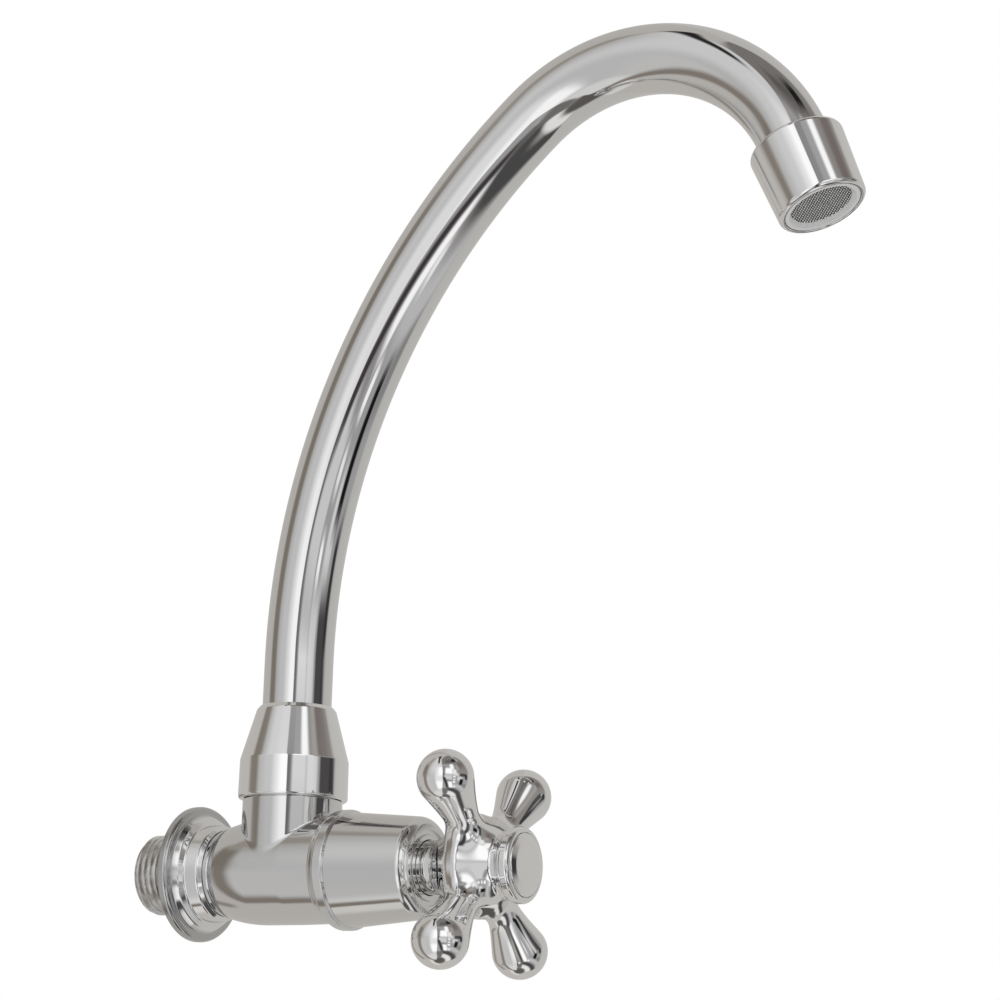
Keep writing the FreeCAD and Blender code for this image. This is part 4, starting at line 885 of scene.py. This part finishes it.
world = bpy.data.worlds.new("studio")
world.use_nodes = True
bpy.context.scene.world = world
sky = Tree(world.node_tree)
way = sky.node("ShaderNodeTexCoord").outputs["Generated"]
bearing = sky.math("MULTIPLY", sky.math("ARCTAN2", sky.dot(way, LEFT), sky.dot(way, FORWARD)),
                   180 / math.pi)
height = sky.math("MULTIPLY", sky.math("ARCSINE", sky.dot(way, (0.0, 0.0, 1.0))), 180 / math.pi)


def pane(low, high, foot, head, soft, across=None):
    """1 in a soft-edged rectangle of bearings and heights; across may stand for the bearing."""
    return sky.math("MULTIPLY", sky.within(bearing if across is None else across, low, high, soft),
                    sky.within(height, foot, head, soft))


def lay(under, tone, share):
    """Paint a tone, or a picture already made, over what is there."""
    return sky.mix(share, under, colour(*tone) if isinstance(tone, tuple) else tone)


def lay_all(under, rows, across=None):
    for tone, *place_at in rows:
        under = lay(under, tone, pane(*place_at, across))
    return under


def leaned(share, level):
    """The bearing, shifted with height so that a pane's sides slant."""
    return sky.math("SUBTRACT", bearing, sky.math("MULTIPLY", sky.math("ADD", height, level), share))


def ellipse(middle, level, half_wide, half_high, power):
    """Below 1 inside a rounded panel, above 1 outside it."""
    def reach(value, at, half):
        away = sky.math("ABSOLUTE", sky.math("DIVIDE", sky.math("SUBTRACT", value, at), half))
        return sky.math("POWER", away, power)
    return sky.math("ADD", reach(bearing, middle, half_wide), reach(height, level, half_high))


tent = sky.mix(sky.rise(height, -50, 60), colour(184, 181, 177), colour(180, 177, 173))
shown = lay(tent, (186, 184, 181), sky.rise(bearing, -96, -124))
shown = lay(shown, (90, 87, 84), sky.rise(height, -70, -78))
shown = lay(shown, (212, 210, 206), pane(20, 180, -71, -62, 6))
shown = lay_all(shown, ROOM)

# The lower window and the post beside it slant, and so does a fold in the tent.
slant = leaned(0.4, 12.0)
shown = lay(shown, BRIGHT, pane(-24, -8, -43, -21, 7, slant))
shown = lay(shown, (62, 57, 58), pane(-4, 8, -44, -4, 7, slant))
shown = lay(shown, (142, 136, 129), pane(139, 150, -46, 4, 8, leaned(0.5, 0.0)))

# The panel hangs from a dark hoop. Its far edge sags to the left, with a brown hem beside it.
sag = sky.math("MULTIPLY", sky.math("MAXIMUM", sky.math("SUBTRACT", SAG_BELOW, height), 0.0), SAG)
edge = sky.math("SUBTRACT", sky.math("SUBTRACT", bearing, sag),
                sky.math("MULTIPLY", sky.rise(height, STEP_HIGH, STEP_LOW), STEP_IN))
shown = lay_all(shown, HEM, edge)
panel = sky.mix(sky.rise(height, -4, 30), colour(187, 187, 188), colour(206, 206, 206))
panel = lay_all(panel, PANEL)
panel = lay(panel, (212, 212, 211), sky.rise(height, -48, -60))
shown = lay(shown, panel, sky.math("MULTIPLY", sky.rise(ellipse(*PANEL_SHAPE), 1.04, 0.94),
                                   sky.rise(edge, PANEL_GONE, PANEL_FULL)))
hoop = sky.within(sky.math("SQRT", ellipse(*HOOP_SHAPE)), HOOP_IN, HOOP_OUT, 5)
shown = lay(shown, (40, 38, 38), sky.math("MULTIPLY", pane(33, 90, 48, 90, 8), hoop))

rays = sky.node("ShaderNodeLightPath")
studio = sky.node("ShaderNodeBackground")
sky.feed(studio.inputs["Color"], shown)
studio.inputs["Strength"].default_value = PLATE_GAIN
plain = sky.node("ShaderNodeBackground")
sky.feed(plain.inputs["Color"], (1.0, 1.0, 1.0, 1.0))
either = sky.node("ShaderNodeMixShader")
sky.feed(either.inputs[0], rays.outputs["Is Glossy Ray"])
sky.feed(either.inputs[1], plain.outputs[0])
sky.feed(either.inputs[2], studio.outputs[0])
sky.feed(sky.node("ShaderNodeOutputWorld").inputs["Surface"], either.outputs[0])


# Floor and lamp. A pale floor lies well under the tap, and one soft lamp hangs above it. Neither
# shows in the plating, which mirrors only the studio.

FLOOR_AT, FLOOR_HALF = -0.26, 3
LAMP_AT, LAMP_AIM = (-0.5, -0.4, 0.9), Vector((0, -0.09, 0.09))
floor_corners = [(-FLOOR_HALF, -FLOOR_HALF), (FLOOR_HALF, -FLOOR_HALF),
                 (FLOOR_HALF, FLOOR_HALF), (-FLOOR_HALF, FLOOR_HALF)]
floor_mesh = bpy.data.meshes.new("floor")
floor_mesh.from_pydata([(x, y, FLOOR_AT) for x, y in floor_corners], [], [(0, 1, 2, 3)])
floor = bpy.data.objects.new("floor", floor_mesh)
floor_mesh.materials.append(surface("floor_paint", colour(244, 243, 241), 0.0, 0.7, plastic_look))
floor.visible_glossy = False
bpy.context.scene.collection.objects.link(floor)

lamp_data = bpy.data.lights.new("lamp", "AREA")
lamp_data.energy, lamp_data.size = 6.0, 0.6
lamp = bpy.data.objects.new("lamp", lamp_data)
lamp.location = LAMP_AT
lamp.visible_glossy = False
lamp.rotation_euler = (LAMP_AIM - lamp.location).to_track_quat("-Z", "Y").to_euler()
bpy.context.scene.collection.objects.link(lamp)


# Camera. It stands left of the tap and a little below it, tilted as the photograph's own was. Its
# place and its lens were worked out from the outline of the tap in the photograph.

VIEW_AZIMUTH, VIEW_ELEVATION, VIEW_ROLL = (math.radians(angle) for angle in (-59.85, -13.68, 1.61))
VIEW_DISTANCE = 655.9
VIEW_TARGET = Vector((0, -88.83, 92.81))
FOCAL_PIXELS, PHOTO_PIXELS, SENSOR = 2574.4, 1000, 36.0

back = Vector((math.sin(VIEW_AZIMUTH) * math.cos(VIEW_ELEVATION),
               -math.cos(VIEW_AZIMUTH) * math.cos(VIEW_ELEVATION), math.sin(VIEW_ELEVATION)))
level_right = (-back).cross(Vector((0, 0, 1))).normalized()
level_up = level_right.cross(-back)
right = level_right * math.cos(VIEW_ROLL) + level_up * math.sin(VIEW_ROLL)
up = level_up * math.cos(VIEW_ROLL) - level_right * math.sin(VIEW_ROLL)
camera_data = bpy.data.cameras.new("camera")
camera_data.sensor_width = SENSOR
camera_data.lens = SENSOR * FOCAL_PIXELS / PHOTO_PIXELS
camera_data.clip_start, camera_data.clip_end = 0.01, 20.0
camera = bpy.data.objects.new("camera", camera_data)
camera.matrix_world = Matrix.Translation((VIEW_TARGET + back * VIEW_DISTANCE) * MM) @ Matrix(
    (right, up, back)).transposed().to_4x4()
bpy.context.scene.collection.objects.link(camera)
bpy.context.scene.camera = camera

bpy.context.scene.view_settings.view_transform = "Standard"
